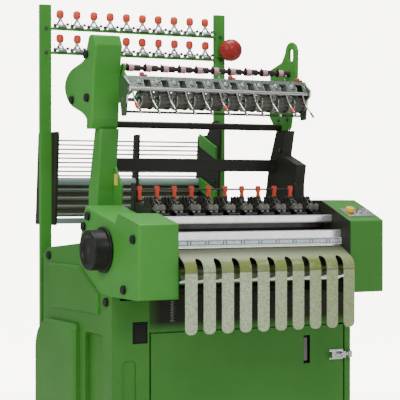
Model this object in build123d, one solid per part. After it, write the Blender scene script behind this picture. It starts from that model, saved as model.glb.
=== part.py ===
from build123d import *
import os
from math import atan2, degrees, hypot

# Layout: X runs along the heads, Y from front to rear, Z up from the floor
head_count = 10
head_pitch = 65.0
end_margin = 25.0
drive_box_width = 140.0
right_box_width = 135.0
overrun = 5.0
bearing_clearance = 0.05
running_clearance = 0.5
turning_gap = 2.0

# Base cabinet
base_setback = 201.0
base_depth = 594.0
base_clearance = 60.0
base_corner_radius = 24.0
deck_level = 770.0
hood_rise = 139.0
side_wall = 30.0
pocket_depth = 18.0
pocket_radius = 14.0
pad_height = 10.0
pad_bevel = 6.0
panel_thickness = 6.0
floor_thickness = 12.0
deck_thickness = 14.0
column_width = 134.0
column_depth = 60.0
column_slot_width = 50.0
column_slot_height = 313.0
column_slot_depth = 5.0
column_window_width = 55.0
column_window_height = 70.0
column_window_depth = 30.0
column_window_drop = 154.0
column_slot_drop = 207.0
apron_height = 118.0
apron_thickness = 20.0
foot_diameter = 60.0
foot_pad_height = 18.0
foot_stud_diameter = 20.0
side_rear_shares = [(0.892, 0.974), (1.0, 0.928), (1.0, 0.0)]
pad_outline_shares = [(0.86, 0.915), (0.421, 0.915), (0.157, 0.818), (0.157, 0.741), (0.815, 0.738)]
pocket_place_shares = (0.111, 0.352, 0.218, 0.668)
column_window_share = 0.757
column_slot_share = 0.455
foot_place_shares = (0.1, 0.9)

# Front door with its handle, bolt and keeper
door_gap = 6.0
door_thickness = 24.0
door_wall = 3.0
door_hinge_diameter = 10.0
door_hinge_inset = 8.0
door_pin_length = 20.0
door_frame = 16.0
right_stile = 24.0
door_pull_width = 26.0
door_pull_height = 96.0
door_pull_depth = 14.0
door_pull_place_shares = (0.8, 0.86)
handle_width = 15.0
handle_height = 79.0
handle_thickness = 5.0
bolt_diameter = 14.0
bolt_length = 56.0
bolt_plate_height = 34.0
bolt_plate_thickness = 4.0
bolt_guide_length = 14.0
bolt_guide_wall = 4.0
bolt_place_share = 0.82
keeper_width = 14.0

# Belt drive inside the base and its guard outside
guard_proud = 22.0
guard_wall = 4.0
guard_radius = 111.0
guard_bevel = 8.0
guard_corner_radius = 20.0
guard_rise = 190.0
guard_front_share = 0.428
pulley_rise = 223.0
pulley_place_share = 0.83
pulley_diameter = 180.0
pulley_width = 14.0
pulley_bore = 24.0
motor_rise = 258.0
motor_place_share = 0.672
motor_pulley_diameter = 80.0
motor_diameter = 150.0
motor_length = 230.0
motor_shaft_diameter = 19.0
motor_fin_depth = 6.0
motor_fin_count = 12
motor_foot_thickness = 10.0
belt_thickness = 8.0
belt_width = 10.0
belt_seat = 0.3

# Left gearbox in two covers
box_depth = 455.0
box_height = 289.0
box_edge_radius = 9.0
front_cover_shares = [(0.0, 0.0), (0.0, 0.81), (0.334, 0.922), (0.378, 0.824), (0.378, 0.0)]
rear_cover_shares = [(0.378, 0.0), (0.378, 0.824), (0.892, 1.0), (1.0, 0.564), (0.989, 0.325),
                     (0.655, 0.028)]

# Handwheel and main shaft
shaft_setback = 259.0
shaft_rise = 147.5
shaft_diameter = 30.0
wheel_flange_diameter = 150.0
wheel_flange_thickness = 8.0
wheel_diameter = 130.0
wheel_length = 50.0
wheel_dish_depth = 6.0
wheel_edge_radius = 6.0

# Right gearbox, its inner plate and control panel
right_box_depth = 277.0
right_box_height = 305.0
right_box_outline_shares = [(0.0, 0.0), (0.0, 0.777), (0.44, 0.934), (0.643, 1.0), (1.0, 1.0), (1.0, 0.0)]
inner_plate_thickness = 3.0
panel_width = 105.0
panel_length = 66.0
panel_plate_thickness = 5.0
panel_place_share = 0.52
button_diameter = 30.0
button_height = 12.0
button_travel = 4.0
knob_diameter = 24.0
knob_height = 16.0
socket_diameter = 14.0
socket_height = 8.0
panel_item_shares = (0.22, 0.55, 0.83)

# Thumb knobs on the left faces, placed by their height and their distance from the box front
knob_cap_diameter = 29.0
knob_cap_height = 9.0
knob_cap_edge = 3.0
box_knob_shares = [(0.84, 0.882), (0.919, 0.758), (0.086, 0.65), (0.237, 0.097)]
side_knob_shares = [(0.064, 0.791), (0.87, 0.942)]

# Breast bars, scale strip, comb plate and take-off roller
upper_bar_setback = 105.0
upper_bar_depth = 30.0
upper_bar_rise = 230.0
upper_bar_height = 27.0
lower_bar_setback = 50.0
lower_bar_depth = 24.0
lower_bar_rise = 154.0
lower_bar_height = 54.0
scale_thickness = 4.0
scale_height = 23.0
scale_inset = 6.0
comb_thickness = 3.0
comb_front = -30.0
comb_drop = 109.0
comb_shoulder_rise = 110.0
comb_bend_radius = 40.0
finger_width = 42.0
finger_tip_radius = 18.0
comb_slot_rise = 126.0
roller_setback = 24.0
roller_rise = 72.0
roller_diameter = 56.0
roller_journal_diameter = 20.0
journal_length = 12.0

# Head beam, weaving heads, tongues, slay, needle bar and feeler bank
beam_setback = 184.0
beam_depth = 146.0
beam_rise = 180.0
beam_height = 35.0
ear_thickness = 8.0
ear_width = 26.0
ear_rise = 22.0
head_width = 42.0
head_setback = 215.0
head_slot_width = 12.0
head_slot_depth = 24.0
tongue_setback = 180.0
tongue_length = 120.0
tongue_rise = 57.0
tongue_climb = 31.0
tongue_thickness = 5.0
tongue_width = 30.0
tongue_notch_width = 8.0
tongue_notch_length = 40.0
feeler_setback = 340.0
feeler_rise = 39.0
feeler_rod_diameter = 6.0
feeler_stick_width = 9.0
feeler_stick_depth = 6.0
feeler_stick_above = 12.0
feeler_stick_below = 35.0
slay_setback = 160.0
slay_pivot_rise = 80.0
slay_pivot_diameter = 16.0
slay_sword_width = 20.0
slay_sword_thickness = 8.0
slay_bar_rise = 135.0
slay_bar_height = 14.0
slay_bar_depth = 16.0
reed_width = 40.0
reed_height = 36.0
reed_thickness = 5.0
reed_wall = 3.0
reed_dents = 9
reed_dent_width = 1.6
needle_bar_setback = 190.0
needle_bar_width = 14.0
needle_bar_height = 12.0
needle_diameter = 3.0
needle_rise = 22.0
needle_reach = 20.0
needle_bar_margin = 4.0
needle_bend_radius = 8.0

# Return spring under the drive gearbox
spring_setback = 16.0
spring_place_share = 0.88
spring_diameter = 18.0
spring_wire = 3.0
spring_turns = 7
spring_length = 68.0
spring_pin_diameter = 8.0

# Left column, head and lobe cover
arm_side = 36.0
arm_width = 99.0
column_side = 68.0
column_front = 434.0
column_shares = [(0.29, 0.0), (0.29, 0.49), (0.0, 1.0), (0.5, 1.0), (1.0, 0.49), (1.0, 0.0)]
column_run = 106.0
arm_front = 408.0
arm_depth = 78.0
arm_rise = 545.0
arm_height = 316.0
arm_edge_radius = 14.0
arm_rim_radius = 9.0
arm_shares = [(0.54, 0.0), (0.385, 0.1), (0.24, 0.585), (0.0, 0.873), (0.24, 0.985), (0.7, 1.0),
              (1.0, 0.85), (1.0, 0.0)]
lobe_reach = 208.0
lobe_inset = 12.0
lobe_shares = [(0.0, 0.03), (0.37, 0.2), (0.8, 0.3), (0.97, 0.42), (1.0, 0.48), (0.96, 0.55),
               (0.17, 0.755), (0.0, 0.85)]
arm_knob_shares = [(0.9, 0.79), (0.82, 0.33)]
lobe_knob_share = (0.68, 0.33)

# Right arm plate and right column
right_arm_offset = 13.0
right_arm_thickness = 12.0
right_arm_front = 346.0
right_arm_depth = 200.0
right_arm_rise = 551.0
right_arm_height = 312.0
right_arm_shares = [(0.37, 0.0), (0.31, 0.035), (0.22, 0.3), (0.1, 0.6), (0.09, 0.9), (0.15, 0.97),
                    (0.25, 1.0), (0.36, 0.985), (0.43, 0.94), (0.465, 0.87), (0.575, 0.78), (0.975, 0.71),
                    (1.0, 0.17), (0.755, 0.0)]
right_arm_slot_width = 30.0
right_arm_slot_length = 44.0
right_arm_slot_place_shares = (0.27, 0.85)
right_column_thickness = 40.0
right_column_front = 357.0
right_column_depth = 216.0
right_column_shares = [(0.06, 0.0), (0.06, 0.536), (0.0, 0.7), (0.458, 0.786), (0.356, 1.0), (0.65, 1.0),
                       (0.85, 0.76), (0.917, 0.648), (1.0, 0.44), (1.0, 0.0)]

# Tie tube and harness beam
tie_inset = 62.0
tie_rise = 17.0
tie_diameter = 24.0
tie_wall = 3.0
harness_inset = 66.0
harness_rise = 405.0
harness_height = 43.0
harness_depth = 30.0
harness_wall = 4.0
mount_plate_thickness = 10.0
mount_plate_shares = [(0.25, 0.0), (0.0, 0.75), (0.2, 1.0), (0.7, 1.0), (1.0, 0.8), (1.0, 0.0)]
mount_plate_inset = 28.0
mount_plate_depth = 84.0
mount_plate_rise = 290.0
mount_plate_height = 190.0
gusset_thickness = 8.0
gusset_front = 403.0
gusset_rise = 358.0
gusset_top_share = 0.4

# Weft feeder: rail with end cheeks, brackets, drums and wire fingers
rail_front = 268.0
rail_rise = 121.0
rail_depth = 62.0
rail_height = 49.0
rail_wall = 4.0
rail_end_margin = 14.0
rail_shares = [(0.0, 0.0), (0.0, 0.18), (0.42, 1.0), (1.0, 1.0), (1.0, 0.0)]
rail_pocket = 24.0
rail_pocket_share = 0.56
rail_pocket_height_shares = (0.24, 0.74)
cheek_thickness = 6.0
cheek_drop = 84.0
cheek_shares = [(-0.28, 1.2), (-0.28, 0.94), (0.0, 0.8), (0.22, 0.0), (0.68, 0.0), (1.0, 1.0)]
drum_diameter = 62.0
drum_width = 44.0
drum_groove_depth = 4.0
drum_rim = 6.0
drum_shaft_diameter = 12.0
drum_setback = 300.0
drum_drop = 30.0
stay_rod_diameter = 8.0
stay_rod_setback = 292.0
stay_rod_drop = 70.0
finger_axis_setback = 259.0
finger_axis_rise = 3.0
finger_rod_diameter = 7.0
finger_wire = 5.5
finger_bend_radius = 40.0
finger_outline_shares = [(0.0, 0.0), (-0.3, -0.5), (-1.0, -1.0)]
finger_run = 66.0
finger_drop = 76.0
feeder_plate_thickness = 8.0
left_bracket_shares = [(0.0, 0.0), (0.0, 0.33), (1.0, 2.1), (1.0, -0.7)]

# Ring feed shaft
feed_setback = 409.0
feed_rise = 205.0
feed_shaft_diameter = 14.0
feed_ring_diameter = 25.0
feed_ring_width = 18.0
feed_collar_diameter = 22.0
feed_collar_width = 26.0
feed_boss_diameter = 30.0

# Rear stand: posts, cross bars, tensioners and lamp
post_width = 40.0
post_depth = 20.0
post_height = 1765.0
post_wall = 3.0
post_spacing = 702.0
cross_bar_height = 8.0
cross_bar_depth = 20.0
upper_cross_drop = 87.0
lower_cross_drop = 173.0
tensioner_margin = 38.0
tensioner_disc_diameter = 50.0
tensioner_disc_thickness = 5.0
tensioner_stem_diameter = 9.0
tensioner_stem_height = 30.0
tensioner_cap_diameter = 24.0
tensioner_cap_height = 28.0
tensioner_cap_edge = 4.0
lamp_diameter = 82.0
lamp_socket_diameter = 50.0
lamp_socket_height = 10.0
lamp_drop = 134.0
lamp_shelf = 6.0
lamp_sink_share = 0.32
lamp_gap = 2.0

# Stand end plates, guide rods, warp roller and contact bars
plate_thickness = 10.0
plate_rise = 215.0
plate_height = 330.0
plate_reach = 205.0
plate_lap = 50.0
plate_shares = [(0.12, 0.0), (0.0, 0.97), (0.02, 1.0), (0.84, 1.0), (0.86, 0.97), (1.0, 0.0)]
right_plate_shares = [(0.12, 0.0), (0.0, 0.97), (0.0, 1.1), (0.1, 1.16), (0.28, 1.15), (0.5, 1.0),
                      (0.84, 1.0), (0.86, 0.97), (1.0, 0.0)]
middle_plate_share = 0.575
middle_plate_shares = [(0.78, 0.0), (0.66, 1.0), (0.84, 1.0), (0.86, 0.97), (1.0, 0.0)]
slab_thickness = 9.0
slab_shares = [(0.08, 0.72), (0.08, 0.86), (0.72, 1.02), (0.72, 0.88)]
slab_step_share = 0.5
rod_diameter = 6.0
rod_count = 9
rod_top_drop = 26.0
rod_spacing = 16.0
rod_edge_inset = 18.0
warp_roller_diameter = 28.0
warp_roller_rise = 155.0
warp_journal_diameter = 12.0
contact_bar_count = 4
contact_bar_rise = 123.0
contact_bar_spacing = 30.0
contact_bar_height = 13.0
contact_bar_depth = 8.0
contact_bar_inset = 24.0

# Derived places along X
first_head = drive_box_width + end_margin
last_head = first_head + (head_count - 1) * head_pitch
right_box_side = last_head + end_margin
base_width = right_box_side + right_box_width
inner_side = right_box_side - inner_plate_thickness
heads = [first_head + index * head_pitch for index in range(head_count)]
right_arm_side = right_box_side + right_arm_offset

# Derived places along Y
base_rear = base_setback + base_depth
plate_front = base_rear - plate_lap
harness_setback = column_front + harness_inset
mount_plate_front = column_front + mount_plate_inset
tie_setback = arm_front + tie_inset

# Derived heights of the base and what stands in it
side_crest = deck_level + rear_cover_shares[3][1] * box_height
base_height = side_crest - base_clearance
door_top = deck_level - apron_height
column_window_level = deck_level - column_window_drop
column_slot_top = deck_level - column_slot_drop
motor_height = base_clearance + floor_thickness + motor_rise
pulley_height = motor_height + pulley_rise
guard_bottom = base_clearance + guard_rise

# Derived heights of the weaving front
hood_level = deck_level + hood_rise
shaft_height = deck_level + shaft_rise
roller_level = deck_level + roller_rise
upper_bar_level = deck_level + upper_bar_rise
lower_bar_level = deck_level + lower_bar_rise
comb_shoulder = deck_level + comb_shoulder_rise
comb_bottom = deck_level - comb_drop
slot_top = deck_level + comb_slot_rise
slay_pivot_height = deck_level + slay_pivot_rise
slay_bar_level = slay_pivot_height + slay_bar_rise
beam_level = deck_level + beam_rise
head_level = beam_level + beam_height
tongue_tip_height = head_level + tongue_rise
tongue_rear_height = tongue_tip_height + tongue_climb
tongue_slope = tongue_climb / tongue_length
feeler_axis_height = tongue_rear_height + feeler_rise
feeler_stick_top = feeler_axis_height + feeler_stick_above
feeler_stick_bottom = feeler_axis_height - feeler_stick_below

# Derived heights of the upper works and the stand
arm_level = deck_level + arm_rise
right_arm_level = deck_level + right_arm_rise
gusset_shoulder = deck_level + gusset_rise
harness_level = deck_level + harness_rise
mount_plate_level = deck_level + mount_plate_rise
tie_height = arm_level + tie_rise
feed_height = arm_level + feed_rise
rail_level = arm_level + rail_rise
drum_axis_height = rail_level - drum_drop
stay_rod_height = rail_level - stay_rod_drop
finger_axis_height = rail_level + finger_axis_rise
upper_cross_level = post_height - upper_cross_drop
lower_cross_level = post_height - lower_cross_drop
lamp_height = post_height - lamp_drop
plate_level = deck_level + plate_rise
rod_top = plate_level + plate_height - rod_top_drop
warp_roller_height = plate_level + warp_roller_rise
contact_bar_top = plate_level + contact_bar_rise


def spread(shares, front, floor, depth, height):
    """Outline points (y, z) from shares of a depth and a height."""
    return [(front + share_y * depth, floor + share_z * height) for share_y, share_z in shares]


def plate(points, start, end):
    """Plate with an outline of (y, z) points, running along X from start to end."""
    face = make_face(Polyline(*[(start, y, z) for y, z in points], close=True))
    return extrude(face, amount=end - start, dir=(1, 0, 0))


def block(x_range, y_range, z_range):
    """Box between three pairs of limits."""
    limits = (x_range, y_range, z_range)
    middle = [(low + high) / 2 for low, high in limits]
    return Pos(*middle) * Box(*[high - low for low, high in limits])


def rod(start, end, y, z, diameter):
    """Round bar along X."""
    return Pos((start + end) / 2, y, z) * Rot(0, 90, 0) * Cylinder(diameter / 2, end - start)


def pin(x, y, bottom, top, diameter):
    """Round bar along Z."""
    return Pos(x, y, (bottom + top) / 2) * Cylinder(diameter / 2, top - bottom)


# Base cabinet

front_cover_points = spread(front_cover_shares, 0, deck_level, box_depth, box_height)
rear_cover_points = spread(rear_cover_shares, 0, deck_level, box_depth, box_height)
rear_cover_points.append((base_setback, deck_level))
pulley_setback = base_setback + pulley_place_share * base_depth
motor_setback = base_setback + motor_place_share * base_depth
guard_front = base_setback + guard_front_share * base_depth


def side_points():
    """Outline of a cabinet side: its upper front follows the underside of the gearbox cover."""
    under_cover = [rear_cover_points[index] for index in (6, 5, 4, 3)]
    rear = spread(side_rear_shares, base_setback, base_clearance, base_depth, base_height)
    return [(base_setback, base_clearance)] + under_cover + rear


def make_left_side():
    side = plate(side_points(), 0, side_wall)
    side = fillet(side.edges().filter_by(Axis.Z).group_by(Axis.Y)[-1].sort_by(Axis.X)[:1], base_corner_radius)
    pad = plate(spread(pad_outline_shares, base_setback, base_clearance, base_depth, base_height),
                -pad_height, 0)
    pad = chamfer(pad.faces().sort_by(Axis.X)[0].edges(), pad_bevel)
    y_near, y_far, z_low, z_high = pocket_place_shares
    pocket = block((-overrun, pocket_depth),
                   (base_setback + y_near * base_depth, base_setback + y_far * base_depth),
                   (base_clearance + z_low * base_height, base_clearance + z_high * base_height))
    pocket = fillet(pocket.edges().filter_by(Axis.X), pocket_radius)
    side = side + pad - pocket
    bore = pulley_bore + 2 * bearing_clearance
    side -= rod(-overrun, side_wall + overrun, pulley_setback, pulley_height, bore)
    shaft_hole = motor_shaft_diameter + 2 * running_clearance
    return side - rod(-overrun, side_wall + overrun, motor_setback, motor_height, shaft_hole)


def make_right_side():
    points = [(base_setback, base_clearance), (base_setback, deck_level), (box_depth, deck_level),
              (box_depth, side_crest)]
    points += spread(side_rear_shares, base_setback, base_clearance, base_depth, base_height)
    side = plate(points, base_width - right_stile, base_width)
    return fillet(side.edges().filter_by(Axis.Z).group_by(Axis.Y)[-1].sort_by(Axis.X)[-1:], right_stile / 2)


def make_front_column():
    column = block((side_wall, column_width), (base_setback, base_setback + column_depth),
                   (base_clearance + floor_thickness, deck_level - deck_thickness))
    window_x = column_window_share * column_width
    column -= block((window_x - column_window_width / 2, window_x + column_window_width / 2),
                    (base_setback - overrun, base_setback + column_window_depth),
                    (column_window_level, column_window_level + column_window_height))
    slot_x = column_slot_share * column_width
    slot = block((slot_x - column_slot_width / 2, slot_x + column_slot_width / 2),
                 (base_setback - overrun, base_setback + column_slot_depth),
                 (column_slot_top - column_slot_height, column_slot_top))
    return column - fillet(slot.edges().filter_by(Axis.Y), column_slot_width / 3)


def make_base_floor():
    floor = block((side_wall, base_width - right_stile), (base_setback, base_rear),
                  (base_clearance, base_clearance + floor_thickness))
    x, y = door_axis
    return floor - pin(x, y, base_clearance - overrun, base_clearance + floor_thickness + overrun,
                       door_hinge_diameter + 2 * bearing_clearance)


def make_back_panel():
    return block((side_wall, base_width - right_stile), (base_rear - panel_thickness, base_rear),
                 (base_clearance + floor_thickness, hood_level - deck_thickness))


def make_top_deck():
    inner = deck_level - deck_thickness
    points = [(base_setback + apron_thickness, deck_level), (box_depth, deck_level), (box_depth, hood_level),
              (base_rear, hood_level), (base_rear, hood_level - deck_thickness),
              (box_depth + deck_thickness, hood_level - deck_thickness), (box_depth + deck_thickness, inner),
              (base_setback + apron_thickness, inner)]
    return plate(points, side_wall, base_width - right_stile)


def make_apron():
    apron = block((column_width, base_width - right_stile), (base_setback, base_setback + apron_thickness),
                  (door_top, deck_level))
    x, y = door_axis
    return apron - pin(x, y, door_top - overrun, door_top + door_pin_length + overrun,
                       door_hinge_diameter + 2 * bearing_clearance)


def make_feet():
    near, far = foot_place_shares
    feet = []
    for share_x in (near, far):
        for share_y in (near, far):
            x = share_x * base_width
            y = base_setback + share_y * base_depth
            pad = pin(x, y, 0, foot_pad_height, foot_diameter)
            pad = chamfer(pad.edges().sort_by(Axis.Z)[-1:], foot_pad_height / 3)
            feet.append(pad + pin(x, y, foot_pad_height, base_clearance, foot_stud_diameter))
    return feet


# Front door

door_left = column_width + door_gap
door_right = base_width - right_stile - door_gap
door_bottom = base_clearance + floor_thickness + door_gap
door_crest = door_top - door_gap
door_axis = (door_left + door_hinge_inset, base_setback + door_hinge_inset)
pull_x = door_left + door_pull_place_shares[0] * (door_right - door_left)
pull_z = door_bottom + door_pull_place_shares[1] * (door_crest - door_bottom)
bolt_z = door_bottom + bolt_place_share * (door_crest - door_bottom)
bolt_y = base_setback - bolt_plate_thickness - bolt_diameter / 2 - running_clearance
bolt_end = door_right - door_gap / 2
bolt_start = bolt_end - bolt_length


def make_door():
    door = block((door_left, door_right), (base_setback, base_setback + door_thickness),
                 (door_bottom, door_crest))
    door -= block((door_left + door_frame, door_right - door_frame),
                  (base_setback + door_wall, base_setback + door_thickness + overrun),
                  (door_bottom + door_frame, door_crest - door_frame))
    cup_width = door_pull_width / 2 + door_wall
    cup_height = door_pull_height / 2 + door_wall
    door += block((pull_x - cup_width, pull_x + cup_width),
                  (base_setback, base_setback + door_pull_depth + door_wall),
                  (pull_z - cup_height, pull_z + cup_height))
    door -= block((pull_x - door_pull_width / 2, pull_x + door_pull_width / 2),
                  (base_setback - overrun, base_setback + door_pull_depth),
                  (pull_z - door_pull_height / 2, pull_z + door_pull_height / 2))
    x, y = door_axis
    door += pin(x, y, door_crest, door_top + door_pin_length, door_hinge_diameter)
    return door + pin(x, y, base_clearance, door_bottom, door_hinge_diameter)


def make_pull_handle():
    back = base_setback + door_pull_depth
    handle = block((pull_x - handle_width / 2, pull_x + handle_width / 2), (back - handle_thickness, back),
                   (pull_z - handle_height / 2, pull_z + handle_height / 2))
    return fillet(handle.edges().filter_by(Axis.Y), handle_width / 3)


def make_bolt_plate():
    """Plate on the door with the two guide lugs that the bolt runs in."""
    length = bolt_end - bolt_start
    shape = block((bolt_start, bolt_end), (base_setback - bolt_plate_thickness, base_setback),
                  (bolt_z - bolt_plate_height / 2, bolt_z + bolt_plate_height / 2))
    reach = bolt_diameter / 2 + bolt_guide_wall
    for start in (bolt_start, bolt_end - bolt_guide_length):
        shape += block((start, start + bolt_guide_length), (bolt_y - reach, base_setback),
                       (bolt_z - reach, bolt_z + reach))
    return shape - rod(bolt_start - length, bolt_end + length, bolt_y, bolt_z,
                       bolt_diameter + 2 * bearing_clearance)


def make_barrel_bolt():
    finger = bolt_guide_length / 2
    start = bolt_start + bolt_guide_length + running_clearance
    shaft = rod(bolt_start, bolt_end, bolt_y, bolt_z, bolt_diameter)
    grip = block((start, start + finger), (bolt_y - bolt_diameter, bolt_y),
                 (bolt_z - finger / 2, bolt_z + finger / 2))
    return shaft + grip


def make_bolt_keeper():
    reach = bolt_diameter / 2 + bolt_guide_wall
    start = base_width - right_stile + door_gap / 2
    keeper = block((start, start + keeper_width), (bolt_y - reach, base_setback), (bolt_z - reach,
                                                                                   bolt_z + reach))
    return keeper - rod(start - overrun, start + keeper_width + overrun, bolt_y, bolt_z,
                        bolt_diameter + 2 * running_clearance)


# Belt drive

def guard_block(inset, start, end):
    """Solid of the guard's outline, inset all round."""
    radius = guard_radius - inset
    front = guard_front + inset
    bottom = guard_bottom + inset
    rear = pulley_setback + radius
    body = block((start, end), (front, pulley_setback), (bottom, pulley_height + radius))
    body += block((start, end), (pulley_setback, rear), (bottom, pulley_height))
    body = fillet(body.edges().filter_by(Axis.X).sort_by_distance((0, front, pulley_height + radius))[:1],
                  guard_corner_radius)
    return body + rod(start, end, pulley_setback, pulley_height, 2 * radius)


def make_belt_guard():
    guard = guard_block(0, -guard_proud, 0)
    guard = chamfer(guard.faces().sort_by(Axis.X)[0].edges(), guard_bevel)
    return guard - guard_block(guard_bevel + guard_wall, -guard_proud + guard_wall, overrun)


pulley_start = -turning_gap - pulley_width
belt_start = pulley_start + (pulley_width - belt_width) / 2


def grooved_pulley(y, z, diameter):
    """Pulley with a V-groove for the belt."""
    radius = diameter / 2
    middle = pulley_start + pulley_width / 2
    half = belt_width / 2
    root = radius - belt_thickness - belt_seat
    section = Polyline((pulley_start, 0, 0), (pulley_start, 0, radius), (middle - half, 0, radius),
                       (middle - half / 2, 0, root), (middle + half / 2, 0, root), (middle + half, 0, radius),
                       (pulley_start + pulley_width, 0, radius), (pulley_start + pulley_width, 0, 0),
                       close=True)
    return Pos(0, y, z) * revolve(make_face(section), Axis.X)


def make_drive_pulley():
    pulley = grooved_pulley(pulley_setback, pulley_height, pulley_diameter)
    return pulley + rod(pulley_start, side_wall + pulley_bore, pulley_setback, pulley_height, pulley_bore)


def make_motor_pulley():
    pulley = grooved_pulley(motor_setback, motor_height, motor_pulley_diameter)
    return pulley + rod(pulley_start, side_wall + motor_length / 2, motor_setback, motor_height,
                        motor_shaft_diameter)


def belt_loop(shrink, start, end):
    """Solid inside a belt line that wraps both pulleys, drawn in by shrink."""
    big = pulley_diameter / 2 - shrink
    small = motor_pulley_diameter / 2 - shrink
    dy = motor_setback - pulley_setback
    dz = motor_height - pulley_height
    span = hypot(dy, dz)
    along = (dy / span, dz / span)
    across = (-along[1], along[0])
    lean = (big - small) / span
    rise = (1 - lean * lean) ** 0.5
    corners = []
    for centre_y, centre_z, radius, turns in ((pulley_setback, pulley_height, big, (1, -1)),
                                              (motor_setback, motor_height, small, (-1, 1))):
        for turn in turns:
            corners.append((centre_y + radius * (lean * along[0] + turn * rise * across[0]),
                            centre_z + radius * (lean * along[1] + turn * rise * across[1])))
    loop = plate(corners, start, end)
    loop += rod(start, end, pulley_setback, pulley_height, 2 * big)
    return loop + rod(start, end, motor_setback, motor_height, 2 * small)


def make_drive_belt():
    outer = belt_loop(0, belt_start, belt_start + belt_width)
    inner = belt_loop(belt_thickness, belt_start - overrun, belt_start + belt_width + overrun)
    pulleys = [grooved_pulley(pulley_setback, pulley_height, pulley_diameter + 2 * belt_seat),
               grooved_pulley(motor_setback, motor_height, motor_pulley_diameter + 2 * belt_seat)]
    return outer - inner - pulleys


def make_motor():
    start = side_wall
    body = rod(start + motor_foot_thickness, start + motor_length, motor_setback, motor_height,
               motor_diameter - 2 * motor_fin_depth)
    flange = rod(start, start + motor_foot_thickness, motor_setback, motor_height, motor_diameter)
    fin_gap = motor_length / (2 * motor_fin_count)
    for index in range(motor_fin_count):
        place = start + motor_foot_thickness + fin_gap * (1 + index)
        body += rod(place, place + fin_gap / 3, motor_setback, motor_height, motor_diameter)
    cowl = motor_length / 3
    body += rod(start + motor_length - cowl, start + motor_length, motor_setback, motor_height,
                motor_diameter)
    return body + flange - rod(start - overrun, start + motor_length / 2 + overrun, motor_setback,
                               motor_height,
                               motor_shaft_diameter + 2 * running_clearance)


# Left gearbox, handwheel and main shaft

def shaft_bore(start, end):
    return rod(start, end, shaft_setback, shaft_height, shaft_diameter + 2 * bearing_clearance)


def journal_bores(start, end):
    """Bores for the take-off roller's and the slay's journals."""
    return [rod(start, end, roller_setback, roller_level, roller_journal_diameter + 2 * bearing_clearance),
            rod(start, end, slay_setback, slay_pivot_height, slay_pivot_diameter + 2 * bearing_clearance)]


def make_front_cover():
    cover = plate(front_cover_points, 0, drive_box_width)
    front = cover.edges().group_by(Axis.Y)[0]
    cover = fillet(front, box_edge_radius)
    return cover - journal_bores(drive_box_width - journal_length - turning_gap, drive_box_width + overrun)


def make_rear_cover():
    cover = plate(rear_cover_points, 0, drive_box_width)
    top = cover.faces().sort_by(Axis.Z)[-1].edges().filter_by(Axis.X, reverse=True)
    cover = fillet(top, box_edge_radius)
    return cover - shaft_bore(-overrun, drive_box_width + overrun)


def make_handwheel():
    """Turned wheel: a flange against the gearbox and a drum with a dished end."""
    flange_end = -turning_gap - wheel_flange_thickness
    face = flange_end - wheel_length
    wheel = rod(flange_end, -turning_gap, shaft_setback, shaft_height, wheel_flange_diameter)
    drum = rod(face, flange_end, shaft_setback, shaft_height, wheel_diameter)
    drum = fillet(drum.edges().sort_by(Axis.X)[:1], wheel_edge_radius)
    wheel = fillet(wheel.edges().sort_by(Axis.X)[:1], wheel_edge_radius / 2) + drum
    dish = Pos(face, shaft_setback, shaft_height) * Rot(0, -90, 0) * Cone(
        wheel_diameter / 2 - 4 * wheel_edge_radius, wheel_diameter / 2 - 2 * wheel_edge_radius,
        2 * wheel_dish_depth)
    return wheel - dish - shaft_bore(face - overrun, overrun)


def make_main_shaft():
    end = right_box_side + right_box_width / 2
    face = -turning_gap - wheel_flange_thickness - wheel_length + wheel_dish_depth
    return rod(face, end, shaft_setback, shaft_height, shaft_diameter)


# Right gearbox with its controls

right_box_points = spread(right_box_outline_shares, 0, deck_level, right_box_depth, right_box_height)
panel_slope = degrees(atan2(right_box_points[2][1] - right_box_points[1][1],
                            right_box_points[2][0] - right_box_points[1][0]))
panel_y = right_box_points[1][0] + panel_place_share * (right_box_points[2][0] - right_box_points[1][0])
panel_z = right_box_points[1][1] + panel_place_share * (right_box_points[2][1] - right_box_points[1][1])
panel_frame = Pos(right_box_side + right_box_width / 2, panel_y, panel_z) * Rot(panel_slope, 0, 0)
panel_items = [panel_width * (share - 1 / 2) for share in panel_item_shares]


def make_right_box():
    box = plate(right_box_points, right_box_side, base_width)
    box = fillet(box.edges().group_by(Axis.Y)[0], box_edge_radius)
    box -= shaft_bore(right_box_side - overrun, right_box_side + right_box_width / 2 + overrun)
    return box - journal_bores(right_box_side - overrun, right_box_side + journal_length + turning_gap)


def make_inner_plate():
    inner = plate(right_box_points, inner_side, right_box_side)
    inner -= shaft_bore(inner_side - overrun, right_box_side + overrun)
    return inner - journal_bores(inner_side - overrun, right_box_side + overrun)


def make_control_panel():
    """Sloping plate with the button's guide hole, the selector's hole and a plain socket."""
    panel = Pos(0, 0, panel_plate_thickness / 2) * Box(panel_width, panel_length, panel_plate_thickness)
    panel = fillet(panel.edges().filter_by(Axis.Z), panel_plate_thickness)
    button_x, knob_x, socket_x = panel_items
    stem = button_diameter - 2 * panel_plate_thickness
    panel -= Pos(button_x, 0, 0) * Cylinder(stem / 2 + running_clearance, 2 * panel_length)
    panel -= Pos(knob_x, 0, 0) * Cylinder(knob_diameter / 4 + bearing_clearance, 2 * panel_length)
    panel += Pos(socket_x, 0, panel_plate_thickness + socket_height / 2) * Cylinder(socket_diameter / 2,
                                                                                    socket_height)
    return panel_frame * panel


def make_start_button():
    button_x = panel_items[0]
    stem = button_diameter - 2 * panel_plate_thickness
    lift = panel_plate_thickness + button_travel + running_clearance
    cap = Pos(button_x, 0, lift + button_height / 2) * Cylinder(button_diameter / 2, button_height)
    cap = fillet(cap.edges().sort_by(Axis.Z)[-1:], button_height / 3)
    cap += Pos(button_x, 0, lift - panel_plate_thickness / 2) * Cylinder(stem / 2, panel_plate_thickness)
    return panel_frame * cap


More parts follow.
